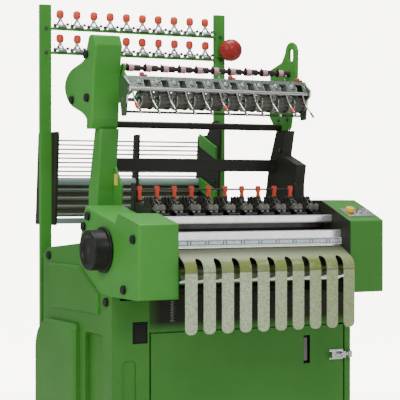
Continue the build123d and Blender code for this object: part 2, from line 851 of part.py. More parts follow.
def make_selector_knob():
    knob_x = panel_items[1]
    base = panel_plate_thickness + running_clearance
    body = Pos(knob_x, 0, base + knob_height / 4) * Cylinder(knob_diameter / 2, knob_height / 2)
    grip = Pos(knob_x, 0, base + 3 * knob_height / 4) * Box(knob_diameter / 4, knob_diameter * 9 / 10,
                                                           knob_height / 2)
    stem = Cylinder(knob_diameter / 4, base - running_clearance)
    stem = Pos(knob_x, 0, base / 2 + running_clearance / 2) * stem
    return panel_frame * (body + grip + stem)


# Thumb knobs on the left faces

def make_thumb_knobs():
    places = [(0, y, z) for y, z in spread(box_knob_shares, 0, deck_level, box_depth, box_height)]
    places += [(0, y, z) for y, z in spread(side_knob_shares, base_setback, base_clearance, base_depth,
                                            base_height)]
    places += [(arm_side, y, z) for y, z in spread(arm_knob_shares, arm_front, arm_level, arm_depth,
                                                   arm_height)]
    lobe_y, lobe_z = spread([lobe_knob_share], arm_front + arm_depth, arm_level, lobe_reach, arm_height)[0]
    places.append((arm_side + lobe_inset, lobe_y, lobe_z))
    knobs = []
    for x, y, z in places:
        knob = rod(x - knob_cap_height, x, y, z, knob_cap_diameter)
        knobs.append(fillet(knob.edges().sort_by(Axis.X)[:1], knob_cap_edge))
    return knobs


# Breast bars, comb plate and take-off roller

def make_breast_bars():
    """Two bars across the front and the scale strip on the face of the lower one."""
    upper = block((drive_box_width, inner_side), (upper_bar_setback, upper_bar_setback + upper_bar_depth),
                  (upper_bar_level, upper_bar_level + upper_bar_height))
    lower_top = lower_bar_level + lower_bar_height
    lower = block((drive_box_width, inner_side), (lower_bar_setback, lower_bar_setback + lower_bar_depth),
                  (lower_bar_level, lower_top))
    strip = block((drive_box_width, inner_side), (lower_bar_setback - scale_thickness, lower_bar_setback),
                  (lower_bar_level + scale_inset, lower_bar_level + scale_inset + scale_height))
    return [upper, lower, strip]


comb_start = first_head - finger_width / 2
comb_end = last_head + finger_width / 2
comb_level = lower_bar_level - comb_thickness / 2


def make_comb_plate():
    """One bent sheet: a lip under the lower bar, a slope, a rounded nose and ten hanging fingers."""
    lip_end = (0, lower_bar_setback + lower_bar_depth, comb_level)
    lip = (0, lower_bar_setback - comb_thickness, comb_level)
    shoulder = (0, comb_front, comb_shoulder)
    path = FilletPolyline((0, comb_front, comb_bottom), shoulder, lip, lip_end, radius=comb_bend_radius)
    width = comb_end - comb_start
    section = Plane(origin=path @ 0, x_dir=(1, 0, 0), z_dir=path % 0) * Rectangle(width, comb_thickness)
    sheet = Pos((comb_start + comb_end) / 2, 0, 0) * sweep(section, path=path)
    slot_width = head_pitch - finger_width
    reach = slot_top - comb_bottom
    for index in range(head_count - 1):
        x = heads[index] + head_pitch / 2
        slot = block((x - slot_width / 2, x + slot_width / 2), (comb_front - overrun, lower_bar_setback / 2),
                     (comb_bottom - overrun, slot_top - slot_width / 2))
        crown = Rot(90, 0, 0) * Cylinder(slot_width / 2, lower_bar_setback / 2 - comb_front + overrun)
        slot += Pos(x, lower_bar_setback / 4 + (comb_front - overrun) / 2, slot_top - slot_width / 2) * crown
        sheet -= slot
    tips = sheet.edges().filter_by(Axis.Y).filter_by_position(Axis.Z, comb_bottom - overrun,
                                                              comb_bottom + overrun)
    return fillet(tips, finger_tip_radius)


def make_takeoff_roller():
    roller = rod(drive_box_width + turning_gap, inner_side - turning_gap, roller_setback, roller_level,
                 roller_diameter)
    return roller + rod(drive_box_width - journal_length, right_box_side + journal_length, roller_setback,
                        roller_level, roller_journal_diameter)


# Head beam, weaving heads and tongues

def make_head_beam():
    """Bar that carries the heads, with an ear at each end for the feeler rod."""
    rear = beam_setback + beam_depth
    beam = block((drive_box_width, inner_side), (beam_setback, rear), (beam_level, head_level))
    ear_top = feeler_axis_height + ear_rise
    for start in (drive_box_width, inner_side - ear_thickness):
        ear = block((start, start + ear_thickness), (rear, feeler_setback + ear_width / 2), (beam_level,
                                                                                             ear_top))
        beam += fillet(ear.edges().filter_by(Axis.X).group_by(Axis.Z)[-1], ear_width / 3)
    return beam - rod(drive_box_width - overrun, inner_side + overrun, feeler_setback, feeler_axis_height,
                      feeler_rod_diameter + 2 * bearing_clearance)


def tongue_underside(y):
    return tongue_tip_height - tongue_thickness + tongue_slope * (y - tongue_setback)


def make_weaving_heads():
    """Ten black guide blocks with a warp slot down the middle."""
    rear = beam_setback + beam_depth
    tongue_end = tongue_setback + tongue_length
    outline = [(head_setback, head_level), (head_setback, tongue_underside(head_setback)),
               (tongue_end, tongue_underside(tongue_end)), (rear, tongue_underside(tongue_end)), (rear,
                                                                                                  head_level)]
    slot_roof = tongue_underside(head_setback) - head_slot_depth
    blocks = []
    for x in heads:
        body = plate(outline, x - head_width / 2, x + head_width / 2)
        body -= block((x - head_slot_width / 2, x + head_slot_width / 2), (head_setback - overrun,
                                                                           rear + overrun),
                      (slot_roof, tongue_underside(rear) + overrun))
        blocks.append(body)
    return blocks


def make_tongues():
    """Ten sloping steel plates on the heads, each with a notch at its tip."""
    tongue_end = tongue_setback + tongue_length
    outline = [(tongue_setback, tongue_underside(tongue_setback)), (tongue_setback, tongue_tip_height),
               (tongue_end, tongue_rear_height), (tongue_end, tongue_underside(tongue_end))]
    tongues = []
    for x in heads:
        tongue = plate(outline, x - tongue_width / 2, x + tongue_width / 2)
        tongue -= block((x - tongue_notch_width / 2, x + tongue_notch_width / 2),
                        (tongue_setback - overrun, tongue_setback + tongue_notch_length),
                        (beam_level, feeler_axis_height))
        tongues.append(tongue)
    return tongues


# Slay, needle bar and feelers

def make_slay():
    """Rocking frame: pivot shaft, two swords, a bar across and ten reeds with open dents."""
    sword_low = slay_setback - slay_sword_width / 2
    left = drive_box_width + turning_gap
    right = inner_side - turning_gap
    bar_top = slay_bar_level + slay_bar_height
    slay = rod(drive_box_width - journal_length, right_box_side + journal_length, slay_setback,
               slay_pivot_height, slay_pivot_diameter)
    for start in (left, right - slay_sword_thickness):
        slay += block((start, start + slay_sword_thickness), (sword_low, sword_low + slay_sword_width),
                      (slay_pivot_height - slay_sword_width / 2, bar_top))
    slay += block((left, right), (slay_setback - slay_bar_depth / 2, slay_setback + slay_bar_depth / 2),
                  (slay_bar_level, bar_top))
    dent_pitch = (reed_width - 2 * reed_wall) / reed_dents
    for x in heads:
        slay += block((x - reed_width / 2, x + reed_width / 2),
                      (slay_setback - reed_thickness / 2, slay_setback + reed_thickness / 2),
                      (bar_top, bar_top + reed_height))
    for x in heads:
        for dent in range(reed_dents):
            middle = x - reed_width / 2 + reed_wall + (dent + 1 / 2) * dent_pitch
            half = (dent_pitch - reed_dent_width) / 2
            slay -= block((middle - half, middle + half), (slay_setback - reed_width,
                                                           slay_setback + reed_width),
                          (bar_top + reed_wall, bar_top + reed_height - reed_wall))
    return slay


def make_needle_bar():
    """Sliding bar with ten bent weft needles."""
    low = head_level + bearing_clearance
    bar = block((first_head - needle_reach / 2 - needle_bar_margin, last_head + needle_reach / 2),
                (needle_bar_setback, needle_bar_setback + needle_bar_width), (low, low + needle_bar_height))
    y = needle_bar_setback + needle_bar_width / 2
    base = low + needle_bar_height
    for x in heads:
        root = x - needle_reach / 2
        path = FilletPolyline((root, y, base - needle_bar_height / 2), (root, y, base + needle_rise),
                              (root + needle_reach, y, base + needle_rise), radius=needle_bend_radius)
        section = Plane(origin=path @ 0, z_dir=path % 0) * Circle(needle_diameter / 2)
        bar += sweep(section, path=path)
    return bar


def make_feeler_rod():
    return rod(drive_box_width, inner_side, feeler_setback, feeler_axis_height, feeler_rod_diameter)


def make_feeler_sticks():
    sticks = []
    for x in heads:
        stick = block((x - feeler_stick_width / 2, x + feeler_stick_width / 2),
                      (feeler_setback - feeler_stick_depth, feeler_setback + feeler_stick_depth),
                      (feeler_stick_bottom, feeler_stick_top))
        stick = fillet(stick.edges().filter_by(Axis.Y), feeler_stick_width / 4)
        sticks.append(stick - rod(drive_box_width, inner_side, feeler_setback, feeler_axis_height,
                                  feeler_rod_diameter))
    return sticks


def make_return_spring():
    """Coil spring round a pin that hangs under the gearbox's front corner."""
    x = spring_place_share * drive_box_width
    coil_radius = (spring_diameter - spring_wire) / 2
    height = spring_length - spring_wire - spring_pin_diameter / 2
    path = Helix(height / spring_turns, height, coil_radius)
    wire = sweep(Plane(origin=path @ 0, z_dir=path % 0) * Circle(spring_wire / 2), path=path, is_frenet=True)
    seat = deck_level - spring_length + spring_pin_diameter / 2 + spring_wire / 2
    head = pin(x, spring_setback, deck_level - spring_length,
               deck_level - spring_length + spring_pin_diameter / 2,
               spring_diameter)
    stem = pin(x, spring_setback, deck_level - spring_length, deck_level, spring_pin_diameter)
    return [Pos(x, spring_setback, seat) * wire, head + stem]


# Left column, head and lobe cover

arm_end = arm_side + arm_width


column_points = spread(column_shares, column_front, hood_level, column_run, arm_level - hood_level)


def make_left_column():
    column = plate(column_points, column_side, arm_end)
    return fillet(column.edges().group_by(Axis.X)[0].filter_by(Axis.Y, reverse=True), arm_edge_radius / 2)


def make_left_head():
    head = plate(spread(arm_shares, arm_front, arm_level, arm_depth, arm_height), arm_side, arm_end)
    corners = head.edges().filter_by(Axis.X).filter_by_position(Axis.Z, arm_level + overrun, post_height)
    head = fillet(corners, arm_edge_radius)
    rim = head.faces().sort_by(Axis.X)[0].edges().filter_by_position(Axis.Z, arm_level + overrun, post_height)
    return fillet(rim, arm_rim_radius)


def make_lobe_cover():
    """Cam cover behind the head, with a smooth round outline."""
    points = spread(lobe_shares, arm_front + arm_depth, arm_level, lobe_reach, arm_height)
    start = arm_side + lobe_inset
    curve = Spline(*[(start, y, z) for y, z in points])
    closing = Line(curve @ 1, curve @ 0)
    cover = extrude(make_face([curve, closing]), amount=arm_end - start, dir=(1, 0, 0))
    return cover


def make_gusset():
    """Stiffening plate between the gearbox's rear slope and the column's front edge."""
    knee_y, knee_z = column_points[1]
    top_y, top_z = column_points[2]
    top = (knee_y + gusset_top_share * (top_y - knee_y), knee_z + gusset_top_share * (top_z - knee_z))
    points = [rear_cover_points[2], (gusset_front, gusset_shoulder), top, (knee_y, knee_z), (knee_y,
                                                                                             side_crest),
              rear_cover_points[3]]
    return plate(points, arm_end - gusset_thickness, arm_end)


# Right column and arm

def make_right_column():
    points = spread(right_column_shares, right_column_front, hood_level, right_column_depth,
                    right_arm_level - hood_level)
    return plate(points, right_arm_side, right_arm_side + right_column_thickness)


def make_right_arm():
    points = spread(right_arm_shares, right_arm_front, right_arm_level, right_arm_depth, right_arm_height)
    arm = plate(points, right_arm_side, right_arm_side + right_arm_thickness)
    slot_y, slot_z = spread([right_arm_slot_place_shares], right_arm_front, right_arm_level, right_arm_depth,
                            right_arm_height)[0]
    slot = block((right_arm_side - overrun, right_arm_side + right_arm_thickness + overrun),
                 (slot_y - right_arm_slot_width / 2, slot_y + right_arm_slot_width / 2),
                 (slot_z - right_arm_slot_length / 2, slot_z + right_arm_slot_length / 2))
    arm -= fillet(slot.edges().filter_by(Axis.X), right_arm_slot_width / 3)
    return arm - rod(right_arm_side - overrun, right_arm_side + right_arm_thickness + overrun, feed_setback,
                     feed_height, feed_shaft_diameter + 2 * bearing_clearance)


def make_tie_tube():
    tube = rod(arm_end, right_arm_side, tie_setback, tie_height, tie_diameter)
    return tube - rod(arm_end - overrun, right_arm_side + overrun, tie_setback, tie_height,
                      tie_diameter - 2 * tie_wall)


def make_beam_mount():
    points = spread(mount_plate_shares, mount_plate_front, mount_plate_level, mount_plate_depth,
                    mount_plate_height)
    return plate(points, arm_end, arm_end + mount_plate_thickness)


def make_harness_beam():
    start = arm_end + mount_plate_thickness
    y_range = (harness_setback, harness_setback + harness_depth)
    beam = block((start, right_arm_side), y_range, (harness_level, harness_level + harness_height))
    return beam - block((start - overrun, right_arm_side + overrun),
                        (harness_setback + harness_wall, harness_setback + harness_depth - harness_wall),
                        (harness_level + harness_wall, harness_level + harness_height - harness_wall))


# Weft feeder

rail_start = first_head - head_pitch - rail_end_margin
rail_end = right_arm_side - feeder_plate_thickness


def make_feeder_rail():
    """Folded rail with ten square yarn pockets and a hanging cheek at each end."""
    points = spread(rail_shares, rail_front, rail_level, rail_depth, rail_height)
    inner = spread(rail_shares, rail_front + rail_wall, rail_level - rail_wall, rail_depth - 2 * rail_wall,
                   rail_height)
    rail = plate(points, rail_start, rail_end) - plate(inner, rail_start - overrun, rail_end + overrun)
    pocket_y = rail_front + rail_pocket_share * rail_depth
    for x in heads:
        rail -= block((x - rail_pocket / 2, x + rail_pocket / 2), (rail_front - overrun, pocket_y),
                      [rail_level + share * rail_height for share in rail_pocket_height_shares])
    cheek = spread(cheek_shares, rail_front, rail_level - cheek_drop, rail_depth, cheek_drop)
    roof = [(rail_front + rail_depth, rail_level + rail_height), (rail_front + rail_depth / 2,
                                                                  rail_level + rail_height)]
    outline = cheek + roof
    for start in (rail_start, rail_end - cheek_thickness):
        rail += plate(outline, start, start + cheek_thickness)
    for y, z, diameter in ((drum_setback, drum_axis_height, drum_shaft_diameter),
                           (finger_axis_setback, finger_axis_height, finger_rod_diameter)):
        rail -= rod(rail_start - overrun, rail_end + overrun, y, z, diameter + 2 * bearing_clearance)
    return rail + rod(rail_start, rail_end, stay_rod_setback, stay_rod_height, stay_rod_diameter)


def make_feeder_brackets():
    """Two plates that carry the rail; the left one also has the bearing of the ring feed shaft."""
    rail_rear = rail_front + rail_depth
    rail_top = rail_level + rail_height
    left = spread(left_bracket_shares, rail_rear, rail_level, arm_front + arm_depth / 2 - rail_rear,
                  rail_height)
    right_rear = right_arm_front + right_arm_depth / 2
    right = [(rail_front, rail_level), (rail_front + rail_depth / 2, rail_top), (right_rear, rail_top),
             (right_rear, rail_level)]
    bearing_end = arm_end + feeder_plate_thickness
    left_plate = plate(left, arm_end, bearing_end)
    left_plate += rod(arm_end, bearing_end, feed_setback, feed_height, feed_boss_diameter)
    left_plate -= rod(arm_end - overrun, bearing_end + overrun, feed_setback, feed_height,
                      feed_shaft_diameter + 2 * bearing_clearance)
    return [left_plate, plate(right, rail_end, right_arm_side)]


def make_feed_drums():
    """Drum shaft with ten grooved drums."""
    drums = rod(rail_start, rail_end, drum_setback, drum_axis_height, drum_shaft_diameter)
    for x in heads:
        drums += rod(x - drum_width / 2, x + drum_width / 2, drum_setback, drum_axis_height,
                     drum_diameter - 2 * drum_groove_depth)
        for start in (x - drum_width / 2, x + drum_width / 2 - drum_rim):
            drums += rod(start, start + drum_rim, drum_setback, drum_axis_height, drum_diameter)
    return drums


def make_weft_fingers():
    """Pivot rod along the rail with a bent wire finger beside each head."""
    bank = rod(rail_start, rail_end, finger_axis_setback, finger_axis_height, finger_rod_diameter)
    points = spread(finger_outline_shares, finger_axis_setback, finger_axis_height, finger_run, finger_drop)
    for index in range(head_count + 1):
        x = first_head - head_pitch + index * head_pitch
        path = FilletPolyline(*[(x, y, z) for y, z in points], radius=finger_bend_radius)
        bank += sweep(Plane(origin=path @ 0, x_dir=(1, 0, 0), z_dir=path % 0) * Circle(finger_wire / 2),
                      path=path)
    return bank


def make_feed_shaft():
    """Ring feed shaft with a collar beside each ring."""
    shaft = rod(arm_end, right_arm_side + right_arm_thickness, feed_setback, feed_height, feed_shaft_diameter)
    for x in heads:
        start = x + feed_ring_width / 2
        shaft += rod(start, start + feed_collar_width, feed_setback, feed_height, feed_collar_diameter)
    return shaft


def make_feed_rings():
    rings = []
    for x in heads:
        ring = rod(x - feed_ring_width / 2, x + feed_ring_width / 2, feed_setback, feed_height,
                   feed_ring_diameter)
        rings.append(ring - rod(x - feed_ring_width, x + feed_ring_width, feed_setback, feed_height,
                                feed_shaft_diameter))
    return rings


# Rear stand

post_right = post_spacing + post_width
post_middle = base_rear + post_depth / 2


def post(start):
    tube = block((start, start + post_width), (base_rear, base_rear + post_depth), (0, post_height))
    return tube - block((start + post_wall, start + post_width - post_wall),
                        (base_rear + post_wall, base_rear + post_depth - post_wall),
                        (-overrun, post_height - post_wall))


lamp_x = post_right + lamp_gap
lamp_seat = base_rear - lamp_shelf - lamp_socket_height


def lamp_bracket():
    """Tab on the right post's front face, with a round lamp socket that points forward."""
    half = lamp_socket_diameter / 2
    tab = block((post_spacing, lamp_x + half), (base_rear - lamp_shelf, base_rear),
                (lamp_height - half, lamp_height + half))
    socket = Rot(90, 0, 0) * Cylinder(half, lamp_socket_height)
    return tab + Pos(lamp_x, lamp_seat + lamp_socket_height / 2, lamp_height) * socket


def make_stand_frame():
    """Welded frame: two posts of box section, two cross bars and the lamp's bracket."""
    frame = post(0) + post(post_spacing) + lamp_bracket()
    for level in (upper_cross_level, lower_cross_level):
        frame += block((post_width, post_spacing), (base_rear, base_rear + cross_bar_depth),
                       (level, level + cross_bar_height))
    return frame


tensioner_places = [(post_width + tensioner_margin + index * head_pitch, level + cross_bar_height)
                    for level in (upper_cross_level, lower_cross_level) for index in range(head_count)]
cap_rise = tensioner_disc_thickness + tensioner_stem_height


def make_tensioner_bodies():
    """Disc and stem of each thread tensioner on the cross bars."""
    bodies = []
    for x, level in tensioner_places:
        disc = pin(x, post_middle, level, level + tensioner_disc_thickness, tensioner_disc_diameter)
        bodies.append(disc + pin(x, post_middle, level, level + cap_rise, tensioner_stem_diameter))
    return bodies


def make_tensioner_caps():
    caps = []
    for x, level in tensioner_places:
        cap = pin(x, post_middle, level + cap_rise, level + cap_rise + tensioner_cap_height,
                  tensioner_cap_diameter)
        caps.append(chamfer(cap.edges().sort_by(Axis.Z)[-1:], tensioner_cap_edge))
    return caps


def make_lamp_dome():
    ball = Pos(lamp_x, lamp_seat - lamp_sink_share * lamp_diameter, lamp_height) * Sphere(lamp_diameter / 2)
    half = lamp_diameter
    return ball - block((lamp_x - half, lamp_x + half), (lamp_seat, lamp_seat + half),
                        (lamp_height - half, lamp_height + half))


# Stand plates, rods, warp roller and contact bars

plate_inner_left = post_width + plate_thickness
plate_inner_right = post_spacing - plate_thickness
middle_plate_x = post_width + middle_plate_share * (post_spacing - post_width)
rod_levels = [rod_top - index * rod_spacing for index in range(rod_count)]
bar_levels = [contact_bar_top - index * contact_bar_spacing for index in range(contact_bar_count)]


def rear_edge(z):
    """Y of the stand plates' sloping rear edge at a height."""
    top, bottom = spread([plate_shares[4], plate_shares[5]], plate_front, plate_level, plate_reach,
                         plate_height)
    return bottom[0] + (top[0] - bottom[0]) * (z - bottom[1]) / (top[1] - bottom[1])


def bar_block(start, end, level, play):
    y = rear_edge(level) - contact_bar_inset
    return block((start, end), (y - contact_bar_depth - play, y + play),
                 (level - contact_bar_height / 2 - play, level + contact_bar_height / 2 + play))


def make_stand_plates():
    """Black plates at the two posts and one narrower plate between them."""
    left = plate(spread(plate_shares, plate_front, plate_level, plate_reach, plate_height), post_width,
                 plate_inner_left)
    right = plate(spread(right_plate_shares, plate_front, plate_level, plate_reach, plate_height),
                  plate_inner_right, post_spacing)
    middle = plate(spread(middle_plate_shares, plate_front, plate_level, plate_reach, plate_height),
                   middle_plate_x, middle_plate_x + plate_thickness)
    roller_y = rear_edge(warp_roller_height) - contact_bar_inset
    for level in rod_levels:
        middle -= rod(plate_inner_left, plate_inner_right, rear_edge(level) - rod_edge_inset, level,
                      rod_diameter)
    for level in bar_levels:
        middle -= bar_block(plate_inner_left, plate_inner_right, level, 0)
    middle -= rod(plate_inner_left, plate_inner_right, roller_y, warp_roller_height,
                  warp_roller_diameter + 2 * running_clearance)
    bore = rod(0, post_right, roller_y, warp_roller_height, warp_journal_diameter + 2 * bearing_clearance)
    return [left - bore, right - bore, middle]


def make_stand_slabs():
    """Two inclined guide slabs on the right stand plate."""
    slabs = []
    for step in (0, slab_step_share * plate_height):
        points = spread(slab_shares, plate_front, plate_level - step, plate_reach, plate_height)
        slabs.append(plate(points, plate_inner_right - slab_thickness, plate_inner_right))
    return slabs


def make_guide_rods():
    return [rod(plate_inner_left, plate_inner_right, rear_edge(level) - rod_edge_inset, level, rod_diameter)
            for level in rod_levels]


def make_contact_bars():
    return [bar_block(plate_inner_left, plate_inner_right, level, 0) for level in bar_levels]


def make_warp_roller():
    y = rear_edge(warp_roller_height) - contact_bar_inset
    roller = rod(plate_inner_left + turning_gap, plate_inner_right - turning_gap, y, warp_roller_height,
                 warp_roller_diameter)
    return roller + rod(post_width + turning_gap, post_spacing - turning_gap, y, warp_roller_height,
                        warp_journal_diameter)


# Every piece by its node name
pieces = {
    "left_side": make_left_side(),
    "right_side": make_right_side(),
    "front_column": make_front_column(),
    "cabinet_panels": [make_base_floor(), make_back_panel(), make_apron()],
    "top_deck": make_top_deck(),
    "levelling_feet": make_feet(),
    "door": make_door(),
    "door_hardware": [make_pull_handle(), make_bolt_plate()],
    "barrel_bolt": make_barrel_bolt(),
    "bolt_keeper": make_bolt_keeper(),
    "belt_guard": make_belt_guard(),
    "drive_pulley": make_drive_pulley(),
    "motor_pulley": make_motor_pulley(),
    "drive_belt": make_drive_belt(),
    "motor": make_motor(),
    "gearbox_front_cover": make_front_cover(),
    "gearbox_rear_cover": make_rear_cover(),
    "handwheel": make_handwheel(),
    "main_shaft": make_main_shaft(),
    "right_gearbox": make_right_box(),
    "inner_plate": make_inner_plate(),
    "control_panel": make_control_panel(),
    "start_button": make_start_button(),
    "selector_knob": make_selector_knob(),
    "thumb_knobs": make_thumb_knobs(),
    "breast_bars": make_breast_bars(),
    "comb_plate": make_comb_plate(),
    "takeoff_roller": make_takeoff_roller(),
    "head_beam": make_head_beam(),
    "weaving_heads": make_weaving_heads(),
    "guide_tongues": make_tongues(),
    "slay": make_slay(),
    "needle_bar": make_needle_bar(),
    "feeler_rod": make_feeler_rod(),
    "feeler_sticks": make_feeler_sticks(),
    "return_spring": make_return_spring(),
    "left_column": make_left_column(),
    "left_head": make_left_head(),
    "lobe_cover": make_lobe_cover(),
    "gusset": make_gusset(),
    "right_column": make_right_column(),
    "right_arm": make_right_arm(),
    "tie_tube": make_tie_tube(),
    "beam_mount": make_beam_mount(),
    "harness_beam": make_harness_beam(),
    "feeder_rail": make_feeder_rail(),
    "feeder_brackets": make_feeder_brackets(),
    "feed_drums": make_feed_drums(),
    "weft_fingers": make_weft_fingers(),
    "feed_shaft": make_feed_shaft(),
    "feed_rings": make_feed_rings(),
    "stand_frame": make_stand_frame(),
    "tensioner_bodies": make_tensioner_bodies(),
    "tensioner_caps": make_tensioner_caps(),
    "lamp_dome": make_lamp_dome(),
    "stand_plates": make_stand_plates(),
    "stand_slabs": make_stand_slabs(),
    "guide_rods": make_guide_rods(),
    "contact_bars": make_contact_bars(),
    "warp_roller": make_warp_roller(),
}

# The origin is the middle of the footprint, on the floor
wheel_face = -turning_gap - wheel_flange_thickness - wheel_length
comb_face = comb_front - comb_thickness / 2
plate_rear = plate_front + plate_reach
origin = Pos(-(wheel_face + base_width) / 2, -(comb_face + plate_rear) / 2, 0)

os.makedirs("parts", exist_ok=True)
for name, piece in pieces.items():
    solids = [origin * solid for solid in (piece if isinstance(piece, list) else [piece])]
    export_step(solids[0] if len(solids) == 1 else Compound(children=solids), f"parts/{name}.step")
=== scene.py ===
import math

import bmesh
import bpy
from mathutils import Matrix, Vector


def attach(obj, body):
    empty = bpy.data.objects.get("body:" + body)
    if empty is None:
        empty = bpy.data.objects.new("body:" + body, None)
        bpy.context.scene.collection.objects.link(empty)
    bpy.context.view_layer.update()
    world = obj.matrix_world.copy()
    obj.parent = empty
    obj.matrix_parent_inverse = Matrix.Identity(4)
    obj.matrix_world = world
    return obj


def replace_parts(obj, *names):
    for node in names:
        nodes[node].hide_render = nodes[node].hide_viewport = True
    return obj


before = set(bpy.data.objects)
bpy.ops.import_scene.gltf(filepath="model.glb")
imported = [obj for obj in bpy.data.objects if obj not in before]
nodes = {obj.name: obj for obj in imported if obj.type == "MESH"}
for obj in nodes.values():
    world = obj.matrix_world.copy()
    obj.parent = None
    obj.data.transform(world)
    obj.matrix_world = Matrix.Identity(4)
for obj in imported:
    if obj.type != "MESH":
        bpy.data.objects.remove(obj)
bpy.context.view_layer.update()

# Stage: a pale plain floor under a white studio sky, which the floor meets without a line.
# Three broad soft lamps stand round it, and a low strip lamp whitens the ground bars.
# The camera is at the weaver's front left; its place and lens follow from the vanishing lines.
floor_radius = 40.0
floor_sides = 64
paper_colour = (0.96, 0.91, 0.865)
paper_roughness = 0.9
paper_glow = 8.0
glow_start = 0.4
glow_full = 3.6
sky_colour = (0.95, 0.97, 1.0)
sky_light = 0.4
camera_place = (-2.4188, -4.58945, 1.12)
camera_turn = math.radians(-28.1)
camera_dip = math.radians(0.4975)
camera_lens = 134.73
camera_sensor = 36.0
camera_reach = 60.0

paper = bmesh.new()
bmesh.ops.create_circle(paper, cap_ends=True, segments=floor_sides, radius=floor_radius)
floor_mesh = bpy.data.meshes.new("studio_floor")
paper.to_mesh(floor_mesh)
paper.free()
floor = bpy.data.objects.new("studio_floor", floor_mesh)
bpy.context.scene.collection.objects.link(floor)
floor_paint = bpy.data.materials.new("floor_paper")
floor_paint.use_nodes = True
tree = floor_paint.node_tree
shader = tree.nodes["Principled BSDF"]
shader.inputs["Base Color"].default_value = (*paper_colour, 1)
shader.inputs["Roughness"].default_value = paper_roughness
shader.inputs["Emission Color"].default_value = (*paper_colour, 1)
spot = tree.nodes.new("ShaderNodeTexCoord")
reach = tree.nodes.new("ShaderNodeVectorMath")
reach.operation = "LENGTH"
fade = tree.nodes.new("ShaderNodeMapRange")
fade.interpolation_type = "SMOOTHERSTEP"
fade.inputs["From Min"].default_value = glow_start
fade.inputs["From Max"].default_value = glow_full
fade.inputs["To Max"].default_value = paper_glow
seen = tree.nodes.new("ShaderNodeLightPath")
glow = tree.nodes.new("ShaderNodeMath")
glow.operation = "MULTIPLY"
tree.links.new(spot.outputs["Object"], reach.inputs[0])
tree.links.new(reach.outputs["Value"], fade.inputs["Value"])
tree.links.new(fade.outputs["Result"], glow.inputs[0])
tree.links.new(seen.outputs["Is Camera Ray"], glow.inputs[1])
tree.links.new(glow.outputs["Value"], shader.inputs["Emission Strength"])
floor_mesh.materials.append(floor_paint)

world = bpy.data.worlds.new("studio")
world.use_nodes = True
sky = world.node_tree
light_sky = sky.nodes["Background"]
light_sky.inputs["Color"].default_value = (*sky_colour, 1)
light_sky.inputs["Strength"].default_value = sky_light
seen_sky = sky.nodes.new("ShaderNodeBackground")
seen_sky.inputs["Color"].default_value = (*paper_colour, 1)
seen_sky.inputs["Strength"].default_value = paper_glow
seen = sky.nodes.new("ShaderNodeLightPath")
choose = sky.nodes.new("ShaderNodeMixShader")
sky.links.new(seen.outputs["Is Camera Ray"], choose.inputs["Fac"])
sky.links.new(light_sky.outputs["Background"], choose.inputs[1])
sky.links.new(seen_sky.outputs["Background"], choose.inputs[2])
sky.links.new(choose.outputs["Shader"], sky.nodes["World Output"].inputs["Surface"])
bpy.context.scene.world = world

lamps = [
    ("key_lamp", (-0.9, -4.6, 4.2), (0.1, -0.2, 0.9), 2.2, 2.2, 130.0),
    ("side_lamp", (-4.6, -1.2, 2.8), (0.0, 0.0, 0.9), 2.2, 2.2, 105.0),
    ("top_lamp", (0.0, 0.3, 4.8), (0.0, 0.0, 1.0), 2.4, 2.4, 165.0),
    ("strip_lamp", (2.1, -4.4, 0.95), (0.0, -0.35, 0.98), 3.4, 0.6, 16.0),
]
for lamp_name, place, aim, breadth, height, power in lamps:
    lamp = bpy.data.lights.new(lamp_name, "AREA")
    lamp.shape = "RECTANGLE"
    lamp.size = breadth
    lamp.size_y = height
    lamp.energy = power
    lamp_object = bpy.data.objects.new(lamp_name, lamp)
    lamp_object.location = place
    lamp_object.rotation_euler = (Vector(aim) - Vector(place)).to_track_quat("-Z", "Y").to_euler()
    lamp_object.visible_camera = False
    bpy.context.scene.collection.objects.link(lamp_object)

camera_data = bpy.data.cameras.new("camera")
camera_data.lens = camera_lens
camera_data.sensor_width = camera_sensor
camera_data.clip_end = camera_reach
camera = bpy.data.objects.new("camera", camera_data)
camera.location = camera_place
camera.rotation_euler = (math.pi / 2 - camera_dip, 0, camera_turn)
bpy.context.scene.collection.objects.link(camera)
bpy.context.scene.camera = camera

# Base castings and cabinet sheet: cast-iron sides and folded steel, filled, sanded and sprayed with
# green machine enamel. It has a faint orange peel, a cloudy tone and dust on what faces up.
# The apron and the deck's front half, which show only between the fingers, are painted black as the deep
# shade behind the comb.
drawing_middle = (425.0, 459.25)
cloud_detail = 5.0
peel_scale = 260.0
peel_detail = 1.5
peel_height = 0.001
speck_scale = 42.0
speck_detail = 6.0
dust_tilt = (0.55, 1.0)
tone_stops = (0.3, 0.72)
gloss_spread = (-0.06, 0.1)
enamel_specular = 0.2
weld_gap = 0.00001
sharp_edge = math.radians(35)
apron_front = (-0.235, -0.236)
apron_foot = (0.652, 0.682)
apron_left = (-0.36, -0.25)
deck_edge = (0.02, 0.0)
painted_shade_black = (0.012, 0.016, 0.008)


def places(tree):
    """The three Object coordinates as separate values."""
    spot = tree.nodes.new("ShaderNodeTexCoord")
    split = tree.nodes.new("ShaderNodeSeparateXYZ")
    tree.links.new(spot.outputs["Object"], split.inputs["Vector"])
    return split.outputs


def facing(tree, axis):
    """One part, X, Y or Z, of the direction in which the surface faces."""
    side = tree.nodes.new("ShaderNodeNewGeometry")
    split = tree.nodes.new("ShaderNodeSeparateXYZ")
    tree.links.new(side.outputs["Normal"], split.inputs["Vector"])
    return split.outputs[axis]


def noise(tree, where, detail, scale=1.0):
    """Noise texture on a socket of coordinates."""
    texture = tree.nodes.new("ShaderNodeTexNoise")
    texture.inputs["Scale"].default_value = scale
    texture.inputs["Detail"].default_value = detail
    tree.links.new(where, texture.inputs["Vector"])
    return texture


